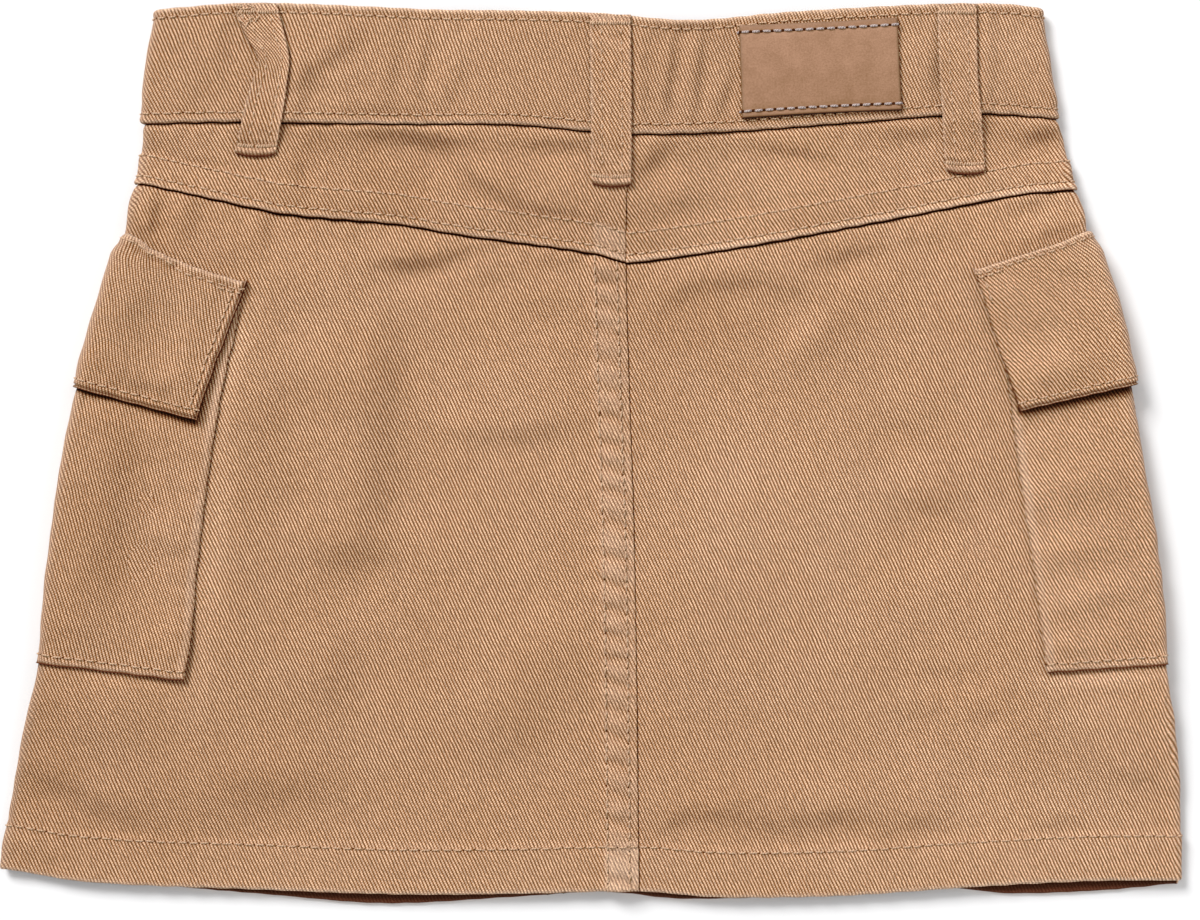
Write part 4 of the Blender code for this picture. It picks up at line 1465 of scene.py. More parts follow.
@dataclass
class HalfPanel(HalfPiece):
    """A back or front panel, from its middle seam round to its side seam."""

    on_back: bool = True
    width: float = 175.0
    length: float = 210.0
    pitch: float = 1.25
    hem_depth: float = 14.5
    hem_extra: float = 0.6
    hem_row: float = 13.9
    fell_rows: tuple[float, float] = (2.8, 9.6)
    fly_rows: tuple[float, float] = (30.0, 32.6)
    fly_end: float = -10.0

    @property
    def felled(self) -> bool:
        """Whether this half carries the raised seam."""
        return self.on_back and self.side.sign < 0

    def build(self) -> None:
        """Makes the panel and its stitching."""
        form, side = self.form, self.side
        seam = form.back_seam if self.on_back else form.front_seam
        hem = form.hem_back if self.on_back else form.hem_front
        share, turn, past_fold = self._columns(graded(self.width, self.pitch, end=False))
        down = graded(self.length, self.pitch)[:, None]
        top = form.yoke_edge if self.on_back else form.band_bottom

        def x_at(y: Array) -> Array:
            """Places across at these heights."""
            return mix(seam(y) + side.sign * self.seam_gap, side.fold(y), share)

        def y_at(x: Array) -> Array:
            """Heights at these places across."""
            return mix(top(x) - form.gap, hem(x), down)

        x, y = lay(x_at, y_at, (len(down), len(share)))
        from_seam = side.sign * (x - seam(y)) - self.seam_gap
        from_top, from_hem = top(x) - form.gap - y, y - hem(x)
        from_fold = side.sign * (side.fold(y) - x) * (turn == 0)
        bare = 1 - form.covered(x, y) if self.on_back else 0 * x + 1
        relief = self._relief(x, y, from_seam, from_top, from_hem, from_fold) * bare
        if not self.on_back:
            relief = np.minimum(relief, 0.0)
        in_hem = ramp(from_hem - self.hem_depth, 0.8)
        extra_out = in_hem * self.hem_extra if self.on_back else 0.0
        extra_in = 0.0 if self.on_back else in_hem * self.hem_extra
        if self.felled:
            extra_out = extra_out + self._fell_wall(from_seam)
        roll = self._roll((from_top, from_hem, past_fold + from_fold), 0.7, from_seam)
        outer_depth, inner_depth = form.panel + extra_out, -extra_in
        lift = folded(PANEL_FOLDS, x, y) * bare * np.cos(np.radians(turn)) if self.on_back else 0.0
        middle = (outer_depth + inner_depth) / 2 + lift
        half = (outer_depth - inner_depth) / 2 * roll
        facing = turn if self.on_back else 180 - turn
        outer = form.place(x, y, facing, side.sign, middle + half + relief)
        inner = form.place(x, y, facing, side.sign, middle - half)
        flat_x = x + side.sign * fold_run(turn) * self.fold_reach + 0.3 * rumple(x, y, 26, 5) * bare
        wear = np.maximum(bell(from_hem, 1.2), 0.3 * bell(from_hem - self.hem_depth, 1.0))
        wear = np.maximum(wear, 0.16 * ramp(from_hem - self.hem_depth, 3.0))
        if self.felled:
            strip = ramp(from_seam - self.fell_width, 0.8)
            crossing = 0.45 * strip * ramp(from_hem - self.hem_depth, 1.0)
            wear = np.maximum(wear, strip * (0.16 + 0.34 * self._pillows(from_seam, y)) + crossing)
        wear = np.clip(wear + 0.1 * rumple(x, y, 14, 8), 0, 1) * bare
        lit = 1 + 0.05 * (side.sign > 0) * bell(from_fold, 3.5)
        stands = form.pocket_depth + form.pocket + 0.8
        below = side.pocket.level(1, from_fold, True, stands) - y
        # Painted shadow on the panel just below the pocket's lower edge.
        painted_pocket_shadow = 0.5 * self.on_back * bell(below - 0.1, 0.7)
        painted_pocket_shadow = painted_pocket_shadow * ramp(from_fold - side.pocket.reach(1, True), 0.8)
        # The edge mark paints shade on the panel's top, under the yoke's edge, and the pocket's shadow.
        marks = {"wear": wear, "rim": self._rim_sheen(turn, from_fold), "row": from_hem - self.hem_row,
                 "edge": np.maximum(0.7 * bell(from_top, 0.3), painted_pocket_shadow), "tone": washed_and_painted_light(x, y) * lit}
        cut = Cut(outer, inner, np.stack((flat_x, y), axis=-1), marks)
        face = "back" if self.on_back else "front"
        name = f"{face}_{side.name}"
        self.dress(f"{name}_panel", name, cut, "panel_twill", "panel_twill",
                   [f"front_{side.name}"] if self.on_back else [])
        rows = [StitchRow(*cut.contour(from_hem, self.hem_row))]
        if self.felled:
            for place in self.fell_rows:
                rows.append(StitchRow(*cut.contour(from_seam, place, down=True)))
        if not self.on_back:
            rows += self._fly_rows(cut, from_seam, y)
        self.stitch(f"{name}_thread", rows, "panel_twill")

    def _fly_rows(self, cut: Cut, from_seam: Array, y: Array) -> list[StitchRow]:
        """Rows beside the front seam, and the fly's curved rows on one half.

        Args:
            cut: The cut panel.
            from_seam: Distances from the middle seam.
            y: Heights.

        Returns:
            The rows.
        """
        rows = [StitchRow(*cut.contour(from_seam, 2.4, down=True))]
        if self.side.sign < 0:
            return rows
        for inset in self.fly_rows:
            points, normals = cut.contour(self._fly_curve(from_seam, y), inset, down=True)
            rows.append(StitchRow(*clip_path(points, normals, points[:, 1] > self.fly_end)))
        return rows

    @staticmethod
    def _fly_curve(from_seam: Array, y: Array) -> Array:
        """A measure that is even along the fly's curved rows."""
        return from_seam + 0.012 * np.maximum(38 - y, 0) ** 2

    def _relief(self, x: Array, y: Array, from_seam: Array, from_top: Array, from_hem: Array,
                from_fold: Array) -> Array:
        """Puckers, grooves and small unevenness of the outer face.

        Args:
            x: Places across.
            y: Heights.
            from_seam: Distances from the middle seam.
            from_top: Distances from the top.
            from_hem: Distances from the hem.
            from_fold: Distances from the fold.

        Returns:
            What they add to the outer face.
        """
        seed = 2.0 if self.side.sign < 0 else 5.0
        seed += 0.0 if self.on_back else 11.0
        groove = 0.24 if self.on_back else 0.6
        hem = StitchedEdge((self.hem_row,), groove, pucker=0.2, pitch=9.0, reach=6.0, seed=seed)
        found = hem.relief(from_hem, x)
        found += 0.16 * bell(from_hem - 1.6, 1.6)
        top = StitchedEdge((), pucker=0.22, pitch=9.5, reach=7.0, seed=seed + 1)
        found = found + top.relief(from_top, x) - 0.3 * bell(from_top, 0.8)
        if not self.on_back:
            found -= 0.75 * bell(from_seam - 2.4, 0.9)
            if self.side.sign > 0:
                away = np.abs(self._fly_curve(from_seam, y) - 31.3) - 1.3
                found -= 0.75 * bell(away, 0.9) * ramp(self.fly_end - y, 4.0)
        elif self.felled:
            found += self._fell(from_seam, y)
        else:
            beside = StitchedEdge((), pucker=0.12, pitch=8.4, reach=5.0, seed=seed + 2)
            found += beside.relief(from_seam, -y)
        sides = 0.2 * ripple(-y + 0.3 * from_fold, 8.6, seed + 3) * bell(from_fold - 1.5, 4.0)
        sides = sides * np.clip(from_fold / 1.5, 0, 1)
        return found + sides + 0.04 * rumple(x, y, 8, seed) + 0.14 * rumple(x, y, 24, seed + 4)

    def _pillows(self, from_seam: Array, y: Array) -> Array:
        """The seam's swells between its cross puckers, 0 in a pucker and 1 on top of a swell."""
        slant = -y + 0.35 * from_seam + 2.2 * rumple(y, 0, 19, 4)
        return np.abs(np.sin(np.pi * slant / 8.4)) ** 0.8 * (0.75 + 0.25 * rumple(y, 9, 16, 6))

    def _fell(self, from_seam: Array, y: Array) -> Array:
        """The raised seam: two stitched grooves with pillows across between them.

        Args:
            from_seam: Distances from the middle seam.
            y: Heights.

        Returns:
            What it adds to the outer face.
        """
        near, far = self.fell_rows
        found = sum(-0.18 * bell(from_seam - row, 0.6) for row in self.fell_rows)
        within = ramp(from_seam - self.fell_width, 1.5)
        between = np.sin(np.pi * np.clip((from_seam - near + 0.8) / (far - near + 1.6), 0, 1)) ** 0.6
        found += within * between * (1.9 * self._pillows(from_seam, y) - 0.8)
        found += within * 0.16 * ripple(-y, 4.2, 31.0)
        beyond = np.clip(from_seam - self.fell_width, 0, None)
        return found + 0.2 * ripple(-y, 8.4, 22.0) * bell(beyond, 6.0) * (from_seam > self.fell_width)


@dataclass
class Yoke(HalfPiece):
    """One half of the pointed yoke between the band and the back panels."""

    width: float = 145.0
    length: float = 36.0
    strip: float = 9.0
    strip_extra: float = 0.8
    rows: tuple[float, float] = (2.7, 9.2)

    def build(self) -> None:
        """Makes the half yoke and its stitching."""
        form, side = self.form, self.side
        share, turn, past_fold = self._columns(graded(self.width, 1.1, end=False))
        down = graded(self.length, 0.9)[:, None]
        edge = form.yoke_left if side.sign < 0 else form.yoke_right
        seed = 41.0 if side.sign < 0 else 47.0

        def x_at(y: Array) -> Array:
            """Places across at these heights."""
            return mix(form.back_seam(y) + side.sign * self.seam_gap, side.fold(y), share)

        def y_at(x: Array) -> Array:
            """Heights at these places across."""
            return mix(form.band_bottom(x) - form.gap, edge(x), down)

        x, y = lay(x_at, y_at, (len(down), len(share)))
        from_seam = side.sign * (x - form.back_seam(y)) - self.seam_gap
        from_top, from_edge = form.band_bottom(x) - form.gap - y, y - edge(x)
        from_fold = np.where(turn > 0, 0, side.sign * (side.fold(y) - x))
        extra = self.strip_extra * ramp(from_edge - self.strip, 1.4)
        if side.sign < 0:
            extra = np.maximum(extra, self._fell_wall(from_seam))
        lapped = StitchedEdge(self.rows, pucker=0.24, pitch=8.6, reach=5.0, seed=seed)
        relief = lapped.relief(from_edge, x) + 0.2 * bell(from_edge - 1.2, 1.2) - 0.6 * bell(from_top, 1.0)
        under = StitchedEdge((), pucker=0.24, pitch=10.0, reach=7.0, seed=seed + 1)
        relief += under.relief(from_top, x)
        relief = relief + 0.08 * rumple(x, y, 8, seed) + 0.15 * rumple(x, y, 20, seed + 2)
        roll = self._roll((from_top, from_edge, past_fold + from_fold), 0.8, from_seam)
        wall = form.yoke + extra
        lift = folded(YOKE_FOLDS, x, y) * np.cos(np.radians(turn))
        outer = form.place(x, y, turn, side.sign, wall / 2 * (1 + roll) + relief * roll + lift)
        inner = form.place(x, y, turn, side.sign, wall / 2 * (1 - roll) + lift)
        wear = np.maximum(0.9 * bell(from_edge, 1.2), 0.1 * ramp(from_edge - self.strip, 1.5))
        wear = np.maximum(wear, 0.3 * bell(from_edge - self.rows[1], 1.0))
        crossing = (0.2 + 0.3 * ramp(from_edge - self.strip, 1.5)) * ramp(from_seam - 10, 1.0)
        wear = np.clip(wear + crossing * (side.sign < 0) + 0.1 * rumple(x, y, 12, seed), 0, 1)
        flat_x = x + side.sign * fold_run(turn) * self.fold_reach + 0.3 * rumple(x, y, 22, seed)
        middle_row, half_row = sum(self.rows) / 2, (self.rows[1] - self.rows[0]) / 2
        # Tone: a painted highlight along the lapped strip, much stronger on the right. Edge: painted shade at
        # the yoke's lower edge and under the band.
        tone = washed_and_painted_light(x, y) * (1 + (0.24 if side.sign > 0 else 0.04) * bell(from_edge - 1.5, 1.3))
        marks = {"wear": wear, "rim": self._rim_sheen(turn, from_fold), "tone": tone,
                 "edge": np.maximum(bell(from_edge, 0.26), 0.6 * bell(from_top, 0.3)),
                 "row": np.abs(from_edge - middle_row) - half_row}
        cut = Cut(outer, inner, np.stack((flat_x, y), axis=-1), marks)
        name = f"yoke_{side.name}"
        self.dress(f"{name}_shell", name, cut, f"{name}_twill", "yoke_twill", [f"front_{side.name}"])
        rows = [StitchRow(*cut.contour(from_edge, place)) for place in self.rows]
        self.stitch(f"{name}_thread", rows, "yoke_twill")


@dataclass
class Waistband(Piece):
    """One doubled strip round the waist, its ends overlapped at the front.

    Tilt is the turn of its grain along the back, in degrees.
    """

    width: float = 35.0
    middle_row: int = 20
    fold_reach: float = 2.6
    front_drop: float = 0.7
    rows: tuple[float, float] = (2.9, 3.1)
    tilt: Spline = spline((-135, 6), (-110, 4), (-75, 0), (-35, -3), (28, -5), (90, -5), (130, -8))

    def end_inset(self, x: Array) -> Array:
        """How much further out the band's outer end lies than its inner end.

        Args:
            x: Places across.

        Returns:
            The difference in depth.
        """
        form = self.form
        away, loops = np.abs(x - form.closure_x), form.loop_rise(x, 14.0)
        inner_end = form.closure_stack * ramp(away - form.band_overlap, 14.0)
        outer_end = form.button_seat * ramp(away - 9.0, 14.0)
        return np.maximum(inner_end, loops) - np.maximum(outer_end, loops)

    def build(self) -> None:
        """Makes the band and its stitching."""
        form = self.form
        middle = float(form.band_bottom(0) + form.band_top(0)) / 2
        left, right = float(form.left.fold(middle)), float(form.right.fold(middle))
        start, stop = form.closure_x + form.band_overlap - 4, form.closure_x - form.band_overlap
        first = graded(start - left, 1.15, end=False)[:-1] * (left - start) + start
        back = np.linspace(0, 1, round((right - left) / 1.05) + 1)[1:-1]
        last = graded(right - stop, 1.15, start=False)[1:] * (stop - right) + right
        bend = np.linspace(0, 180, 21)
        count = len(first) + len(back) + len(last) + 2 * len(bend)
        part = np.repeat(np.arange(5), [len(first), len(bend), len(back), len(bend), len(last)])
        value = np.concatenate((first, np.zeros(len(bend)), back, np.ones(len(bend)), last))
        turn = np.concatenate((np.full(len(first), 180.0), bend[::-1], np.zeros(len(back)), bend,
                               np.full(len(last), 180.0)))
        sign = np.where(part < 2, -1, 1)
        down = graded(self.width, 0.9)[:, None]
        drop = self.front_drop * (turn / 180)
        on_front = (part == 0) | (part == 4)

        def x_at(y: Array) -> Array:
            """Places across at these heights."""
            return np.where(on_front, value, mix(form.left.fold(y), form.right.fold(y), value))

        def y_at(x: Array) -> Array:
            """Heights at these places across."""
            return mix(form.band_top(x) - drop, form.band_bottom(x), down)

        x, y = lay(x_at, y_at, (len(down), count))
        from_top, from_bottom = form.band_top(x) - drop - y, y - form.band_bottom(x)
        middle_x = x[self.middle_row]
        run = running(np.hypot(np.diff(middle_x), np.diff(fold_run(turn)) * self.fold_reach))
        run = np.broadcast_to(run, x.shape)
        from_ends = np.minimum(run, run[:, -1:] - run)
        upper = StitchedEdge((self.rows[0],), pucker=0.2, pitch=8.0, reach=6.0, seed=61.0)
        lower = StitchedEdge((self.rows[1],), pucker=0.28, pitch=8.8, reach=7.0, seed=67.0)
        relief = upper.relief(from_top, run) + lower.relief(from_bottom, run + 0.6 * y)
        on_back = (turn == 0) & (part == 2)
        flatter = 1 - 0.85 * on_back * ramp(np.abs(x - 71) - 24, 5.0)
        relief = relief + 0.1 * rumple(run, y, 9, 62) + 0.2 * rumple(run, y, 21, 63)
        relief += 0.25 * bell(np.minimum(from_top, from_bottom) - 1.2, 1.3)
        rows = np.minimum(np.abs(from_top - self.rows[0]), np.abs(from_bottom - self.rows[1]))
        relief = np.where(turn > 90, np.minimum(relief, 0) - 0.4 * bell(rows, 0.75), relief * flatter)
        roll = edge_roll((from_top, from_bottom, from_ends), 0.9)
        inset = np.where(part == 0, self.end_inset(x), 0.0)
        inset = inset + folded(BAND_FOLDS, x, y) * on_back * flatter * edge_roll((from_top, from_bottom), 6.0)
        outer = form.place(x, y, turn, sign, inset + form.band / 2 * (1 + roll) + relief * roll)
        inner = form.place(x, y, turn, sign, inset + form.band / 2 * (1 - roll))
        wear = np.maximum(0.9 * bell(from_top, 1.4), 0.9 * bell(from_bottom, 1.3))
        wear = np.clip(wear + 0.12 * rumple(run, y, 10, 64), 0, 1)
        level = y - float(form.band_bottom(0)) - self.width / 2
        away = np.where(on_front, np.minimum(np.abs(middle_x - left), np.abs(middle_x - right)), 0)
        tilt = np.radians(self.tilt(middle_x)) * ramp(away, 30.0)
        drift = running(tilt[1:] * np.diff(run[0]))
        flat = np.stack((run + tilt * level, level - drift), axis=-1)
        # Rim: painted dull sheen round the folds.
        rim = np.where(sign < 0, form.left.rim, form.right.rim)
        rim = rim * bell(self.fold_reach * (1 - fold_shares(turn)[0]), 1.8)
        # The edge mark is painted shade along the band's lower edge.
        marks = {"wear": wear, "rim": rim, "tone": washed_and_painted_light(x, y), "edge": 0.8 * bell(from_bottom, 0.24),
                 "row": np.minimum(from_top - self.rows[0], from_bottom - self.rows[1])}
        cut = Cut(outer, inner, flat, marks)
        self.dress("waistband_shell", "waistband", cut, "band_twill", "band_twill", [])
        rows = [StitchRow(*cut.contour(away, row)) for away, row in zip((from_top, from_bottom), self.rows)]
        self.stitch("waistband_thread", rows, "band_twill")


@dataclass
class SideWrap(Piece):
    """A pocket or a flap, folded round a side."""

    side: Side = FORM.left
    is_flap: bool = False
    row: float = 2.7
    lip: tuple[float, float] = (0.14, 1.1)
    pitch: float = 1.1
    corner_lift: float = 0.0
    edge_lift: float = 0.0
    bow: float = 0.0

    def build(self) -> None:
        """Makes the piece and its stitching."""
        form, side = self.form, self.side
        wrap = side.flap if self.is_flap else side.pocket
        depth = form.flap_depth if self.is_flap else form.pocket_depth
        wall = form.flap if self.is_flap else form.pocket
        seed = (71.0 if self.is_flap else 81.0) + side.sign
        kind = "flap" if self.is_flap else "pocket"
        name = f"{kind}_{side.name}"
        back = 1 - graded(wrap.reach(0.5, True), self.pitch, end=False)[:-1]
        front = graded(wrap.reach(0.5, False), self.pitch, start=False)[1:]
        bend = np.linspace(0, 180, 25)
        share = np.concatenate((back, np.zeros(len(bend)), front))
        turn = np.concatenate((np.zeros(len(back)), bend, np.full(len(front), 180.0)))
        length = float(wrap.height(0, 0.5) - wrap.height(1, 0.5))
        down = graded(length, self.pitch)[:, None]
        waves = mix(ripple(40 * share, 8.2, seed), ripple(40 * share, 8.8, seed + 3), down)
        reach = np.where(turn > 90, wrap.reach(down, False), wrap.reach(down, True))
        on_left, stands, out = side.sign < 0, depth + wall + 0.8, fold_shares(turn)[0]
        inward = share * reach - stands * out
        front_y, back_y = (wrap.level(down, inward, on_back, stands) for on_back in (False, True))
        y = np.where(turn > 90, front_y, back_y)
        y = y + 0.14 * waves - 1.2 * (self.is_flap and on_left) * np.sin(np.pi * share) * (1 - down)
        reach = reach + self.bow * np.sin(np.pi * down) + 0.1 * ripple(down * length, 8.5, seed + 6)
        x = side.fold(y) - side.sign * share * reach
        if self.is_flap:
            tucked = (2.9 if on_left else 1.7) * ramp(down * length, 6.5)
            x = x - side.sign * tucked * ramp(share * reach, 9.0)
        from_inner = (1 - share) * reach + np.where((turn > 0) & (turn < 180), 20.0, 0.0)
        from_top, from_bottom = down * length, (1 - down) * length
        span = (form.back_face(x, y) - form.front_face(x, y)) / 2 + depth + wall
        run = fold_run(turn) * span + np.where(turn == 180, 1, -1) * share * reach
        relief = self._relief(y, run, from_inner, from_top, from_bottom, seed)
        if not self.is_flap:
            edges = np.maximum(ramp(from_inner - 0.3, 3.0), 1.15 * ramp(from_bottom - 0.3, 14.0))
            relief = relief - 0.62 * edges - 0.8 * self._pressed(inward, y) * (turn <= (0 if on_left else 90))
            relief = np.maximum(relief, -0.75)
        edges = (from_inner, from_top, from_bottom)
        nearest = np.minimum.reduce(np.broadcast_arrays(*edges)) if self.is_flap else from_bottom + 0 * x
        relief = np.where(turn > 90, np.minimum(relief, 0) - 0.4 * bell(nearest - self.row, 0.75), relief)
        roll = edge_roll((from_inner, from_bottom), 0.5) * edge_roll((from_top,), 0.9)
        at_back_corner = bell(np.hypot(from_inner, from_bottom), 18.0) * (turn == 0)
        lift = self.corner_lift * at_back_corner
        if self.is_flap:
            margin = np.maximum(ramp(from_inner - 3, 9.0), ramp(from_bottom - 3, 9.0))
            lift = lift - (1.0 if on_left else 0.6) * margin * (turn == 0) * (1 - bell(share * reach, 9.0))
        lift = lift + self.edge_lift * ramp(from_bottom, 15.0) * (1 - bell(share * reach, 9.0)) * (turn == 0)
        lift = lift + folded(WRAP_FOLDS[name], x, y) * np.clip(np.cos(np.radians(turn)), 0, 1)
        lip = self.lip[1] * ramp(down - self.lip[0], 0.05) if self.is_flap else 0.0
        middle = depth + (wall - lip) / 2
        half = (wall + lip) / 2 * roll
        outer = form.place(x, y, turn, side.sign, middle + half + relief * roll + lift)
        inner = form.place(x, y, turn, side.sign, middle - half + lift)
        wear = np.maximum.reduce([0.8 * bell(edge, 1.3) for edge in np.broadcast_arrays(*edges[1:])])
        beside = (0.6 if on_left else 0.1) * bell(from_inner, 1.3)
        if not self.is_flap:
            beside = 0.45 * ramp(from_inner - 2.4, 1.6)
        wear = np.maximum(wear, beside)
        wear = np.clip(wear + 0.12 * rumple(run, y, 11, seed), 0, 1)
        flat = np.stack((side.sign * run + 0.3 * rumple(run, y, 20, seed), 0 * run - from_top), axis=-1)
        # The tone carries the flap's painted shadow on the pocket.
        tone = washed_and_painted_light(x, y) * self._painted_flap_shadow(inward, y)
        # Painted light: the right side's cloth is lightened along its fold.
        if not on_left:
            tone = tone * (1 + 0.05 * bell(share * reach, 3.5))
        if self.is_flap:
            lit = 0.12 * bell(from_inner - 2.6, 1.6) if on_left else 0.1 * bell(from_bottom - 1.8, 1.2)
        else:
            lit = (0.05 if on_left else 0.17) * bell(from_bottom - 2.2, 2.0)
        tone = tone * (1 + lit)
        if self.is_flap and not on_left:
            nearest = np.minimum(from_top + 1.1, from_bottom) + 0 * x
        # Rim: painted dull sheen at the fold. Edge: painted shade along the edges.
        marks = {"wear": wear, "rim": side.rim * bell(inward + stands, 2.2), "row": nearest - self.row,
                 "edge": self._edge_shade(from_inner, from_bottom, down), "tone": tone}
        cut = Cut(outer, inner, flat, marks)
        on = [f"pocket_{side.name}"] if self.is_flap else [f"back_{side.name}", f"front_{side.name}"]
        self.dress(f"{name}_shell", name, cut, f"{name}_twill", f"{kind}_twill", on)
        self.stitch(f"{name}_thread", self._rows(cut, turn, share, share * reach, edges), f"{kind}_twill")

    def _rows(self, cut: Cut, turn: Array, share: Array, away: Array,
              edges: tuple[Array, Array, Array]) -> list[StitchRow]:
        """Rows along its lower and inner edges and, on a flap, its upper edge.

        Args:
            cut: The cut piece.
            turn: Degrees round the fold.
            share: Shares of the reach.
            away: Distances from the fold.
            edges: Distances from the inner, upper and lower edges.

        Returns:
            The rows.
        """
        on_left = self.side.sign < 0
        from_inner, from_top, from_bottom = edges
        widening = 0.7 * share * (self.is_flap and on_left)
        rows = [StitchRow(*cut.contour(from_bottom - widening, self.row))]
        if self.is_flap:
            lower = ramp(away - 19, -4.0) if on_left else 1.0
            upper = from_top + 1.3 * (1 - lower) + (0.0 if on_left else 1.1)
            points, normals = cut.contour(upper, self.row)
            rows.append(StitchRow(points - 0.12 * normals, normals))
            points, normals = cut.contour(upper, self.row + 1.2)
            rows.append(StitchRow(points[3:14], normals[3:14], pitch=2.4, length=1.9))
        return rows + [self._inner_row(cut, turn, from_inner, on_back) for on_back in (True, False)]

    def _inner_row(self, cut: Cut, turn: Array, from_inner: Array, on_back: bool) -> StitchRow:
        """The row along its inner edge on the back or on the front, just needle holes on a pocket.

        Args:
            cut: The cut piece.
            turn: Degrees round the fold.
            from_inner: Distances from the inner edge.
            on_back: Whether it is on the back.

        Returns:
            The row.
        """
        on_left = self.side.sign < 0
        here = np.nonzero(turn == (0 if on_back else 180))[0]
        half = Cut(cut.outer[:, here], cut.inner[:, here], cut.flat[:, here], {})
        inset = self.row if self.is_flap else 0.22
        inset += (0.6 if on_left else -0.5) * (self.is_flap and on_back)
        points, normals = half.contour(from_inner[:, here], inset, down=True)
        heights = points[:, 1]
        keep = (heights < heights.max() - self.row) & (heights > heights.min() + self.row)
        if self.is_flap and on_back and not on_left:
            keep &= heights > heights.max() - 11
        points, normals = clip_path(points, normals, keep)
        if self.is_flap:
            return StitchRow(points, normals)
        hole = 0.42 if on_left else 0.3
        return StitchRow(points - 0.1 * normals, normals, pitch=2.1, thread=False, hole=hole)

    def _edge_shade(self, from_inner: Array, from_bottom: Array, down: Array) -> Array:
        """The painted shade of its lower and inner edges, stronger on the shaded side, and of the line
        between a flap's two layers.

        Args:
            from_inner: Distances from the inner edge.
            from_bottom: Distances from the bottom.
            down: Shares of the way down.

        Returns:
            The painted shade at each place, from 0 to 1.
        """
        if self.side.sign < 0:
            strength = 1.0 if self.is_flap else 0.5
        else:
            strength = 0.45 + 0.5 * down if self.is_flap else 0.25
        dark = np.maximum(bell(from_bottom, 0.6 if self.is_flap else 0.75), strength * bell(from_inner, 0.6))
        if self.is_flap:
            layers = (self.side.sign < 0) * bell(from_inner - 1.0, 0.3)
            dark = np.maximum(dark, np.maximum(bell(from_bottom - 1.0, 0.3), layers))
        return dark

    def _below_flap(self, inward: Array, y: Array) -> tuple[Array, Array]:
        """How far below the flap a place lies, and its distance in as a share of the flap's reach.

        Args:
            inward: Distances in from the fold's line.
            y: Heights.

        Returns:
            The distances and the shares.
        """
        flap = self.side.flap
        down = np.clip((flap.top - 8 - y) / (flap.top - flap.bottom), 0, 1)
        stands = self.form.flap_depth + self.form.flap + 0.8
        return flap.level(1, inward, True, stands) - y, inward / flap.reach(down, True)

    def _painted_flap_shadow(self, inward: Array, y: Array) -> Array:
        """The pocket's share of its colour: painted shadow, dark under the flap and for a few millimetres
        past its edge.

        Args:
            inward: Distances in from the fold's line.
            y: Heights.

        Returns:
            The share at each place.
        """
        if self.is_flap:
            return 0 * inward + 1
        below, share = self._below_flap(inward, y)
        depth = np.clip(share, 0.25, 1) if self.side.sign < 0 else 1 - 0.4 * np.clip(share, 0, 1)
        return 1 - 0.9 * ramp(below - 0.2, 3.2 * depth) * ramp(share - 0.98, 0.03)

    def _pressed(self, inward: Array, y: Array) -> Array:
        """1 where the flap lies on the pocket, 0 well away from it."""
        below, share = self._below_flap(inward, y)
        return ramp(below - (1 if self.side.sign < 0 else 5), 7.0) * ramp(share - 1, 0.2)

    def _relief(self, y: Array, run: Array, from_inner: Array, from_top: Array, from_bottom: Array,
                seed: float) -> Array:
        """Puckers along the edges and soft swells inside them.

        Args:
            y: Heights.
            run: Distances along the cloth from the fold.
            from_inner: Distances from the inner edge.
            from_top: Distances from the top.
            from_bottom: Distances from the bottom.
            seed: Picks its pattern.

        Returns:
            What they add to the outer face.
        """
        side_edge = StitchedEdge((self.row,), pucker=0.2, pitch=8.2, reach=5.0, seed=seed)
        found = side_edge.relief(from_inner, -y) * (0.25 if self.is_flap and self.side.sign > 0 else 1.0)
        found += replace(side_edge, seed=seed + 1).relief(from_bottom, run)
        if self.is_flap:
            upper = from_top + (0.0 if self.side.sign < 0 else 1.1)
            found += replace(side_edge, seed=seed + 2).relief(upper, run)
            found += 0.45 * bell(upper - 1.4, 1.5) * (0.8 + 0.5 * rumple(run, 0, 7, seed))
            if self.side.sign < 0:
                found -= 1.0 * bell(np.hypot(run + 18.5, from_top - 1.0), 1.5)
            found += 0.15 * bell(from_bottom - 1.6, 1.3)
            for away in (from_bottom, from_inner)[:2 if self.side.sign < 0 else 1]:
                found -= 0.7 * bell(away - 0.85, 0.3)
        found += 0.2 * bell(from_inner - 1.3, 1.3)
        found = found + 0.12 * rumple(run, y, 9, seed) + 0.3 * rumple(run, y, 22, seed + 5)
        return found


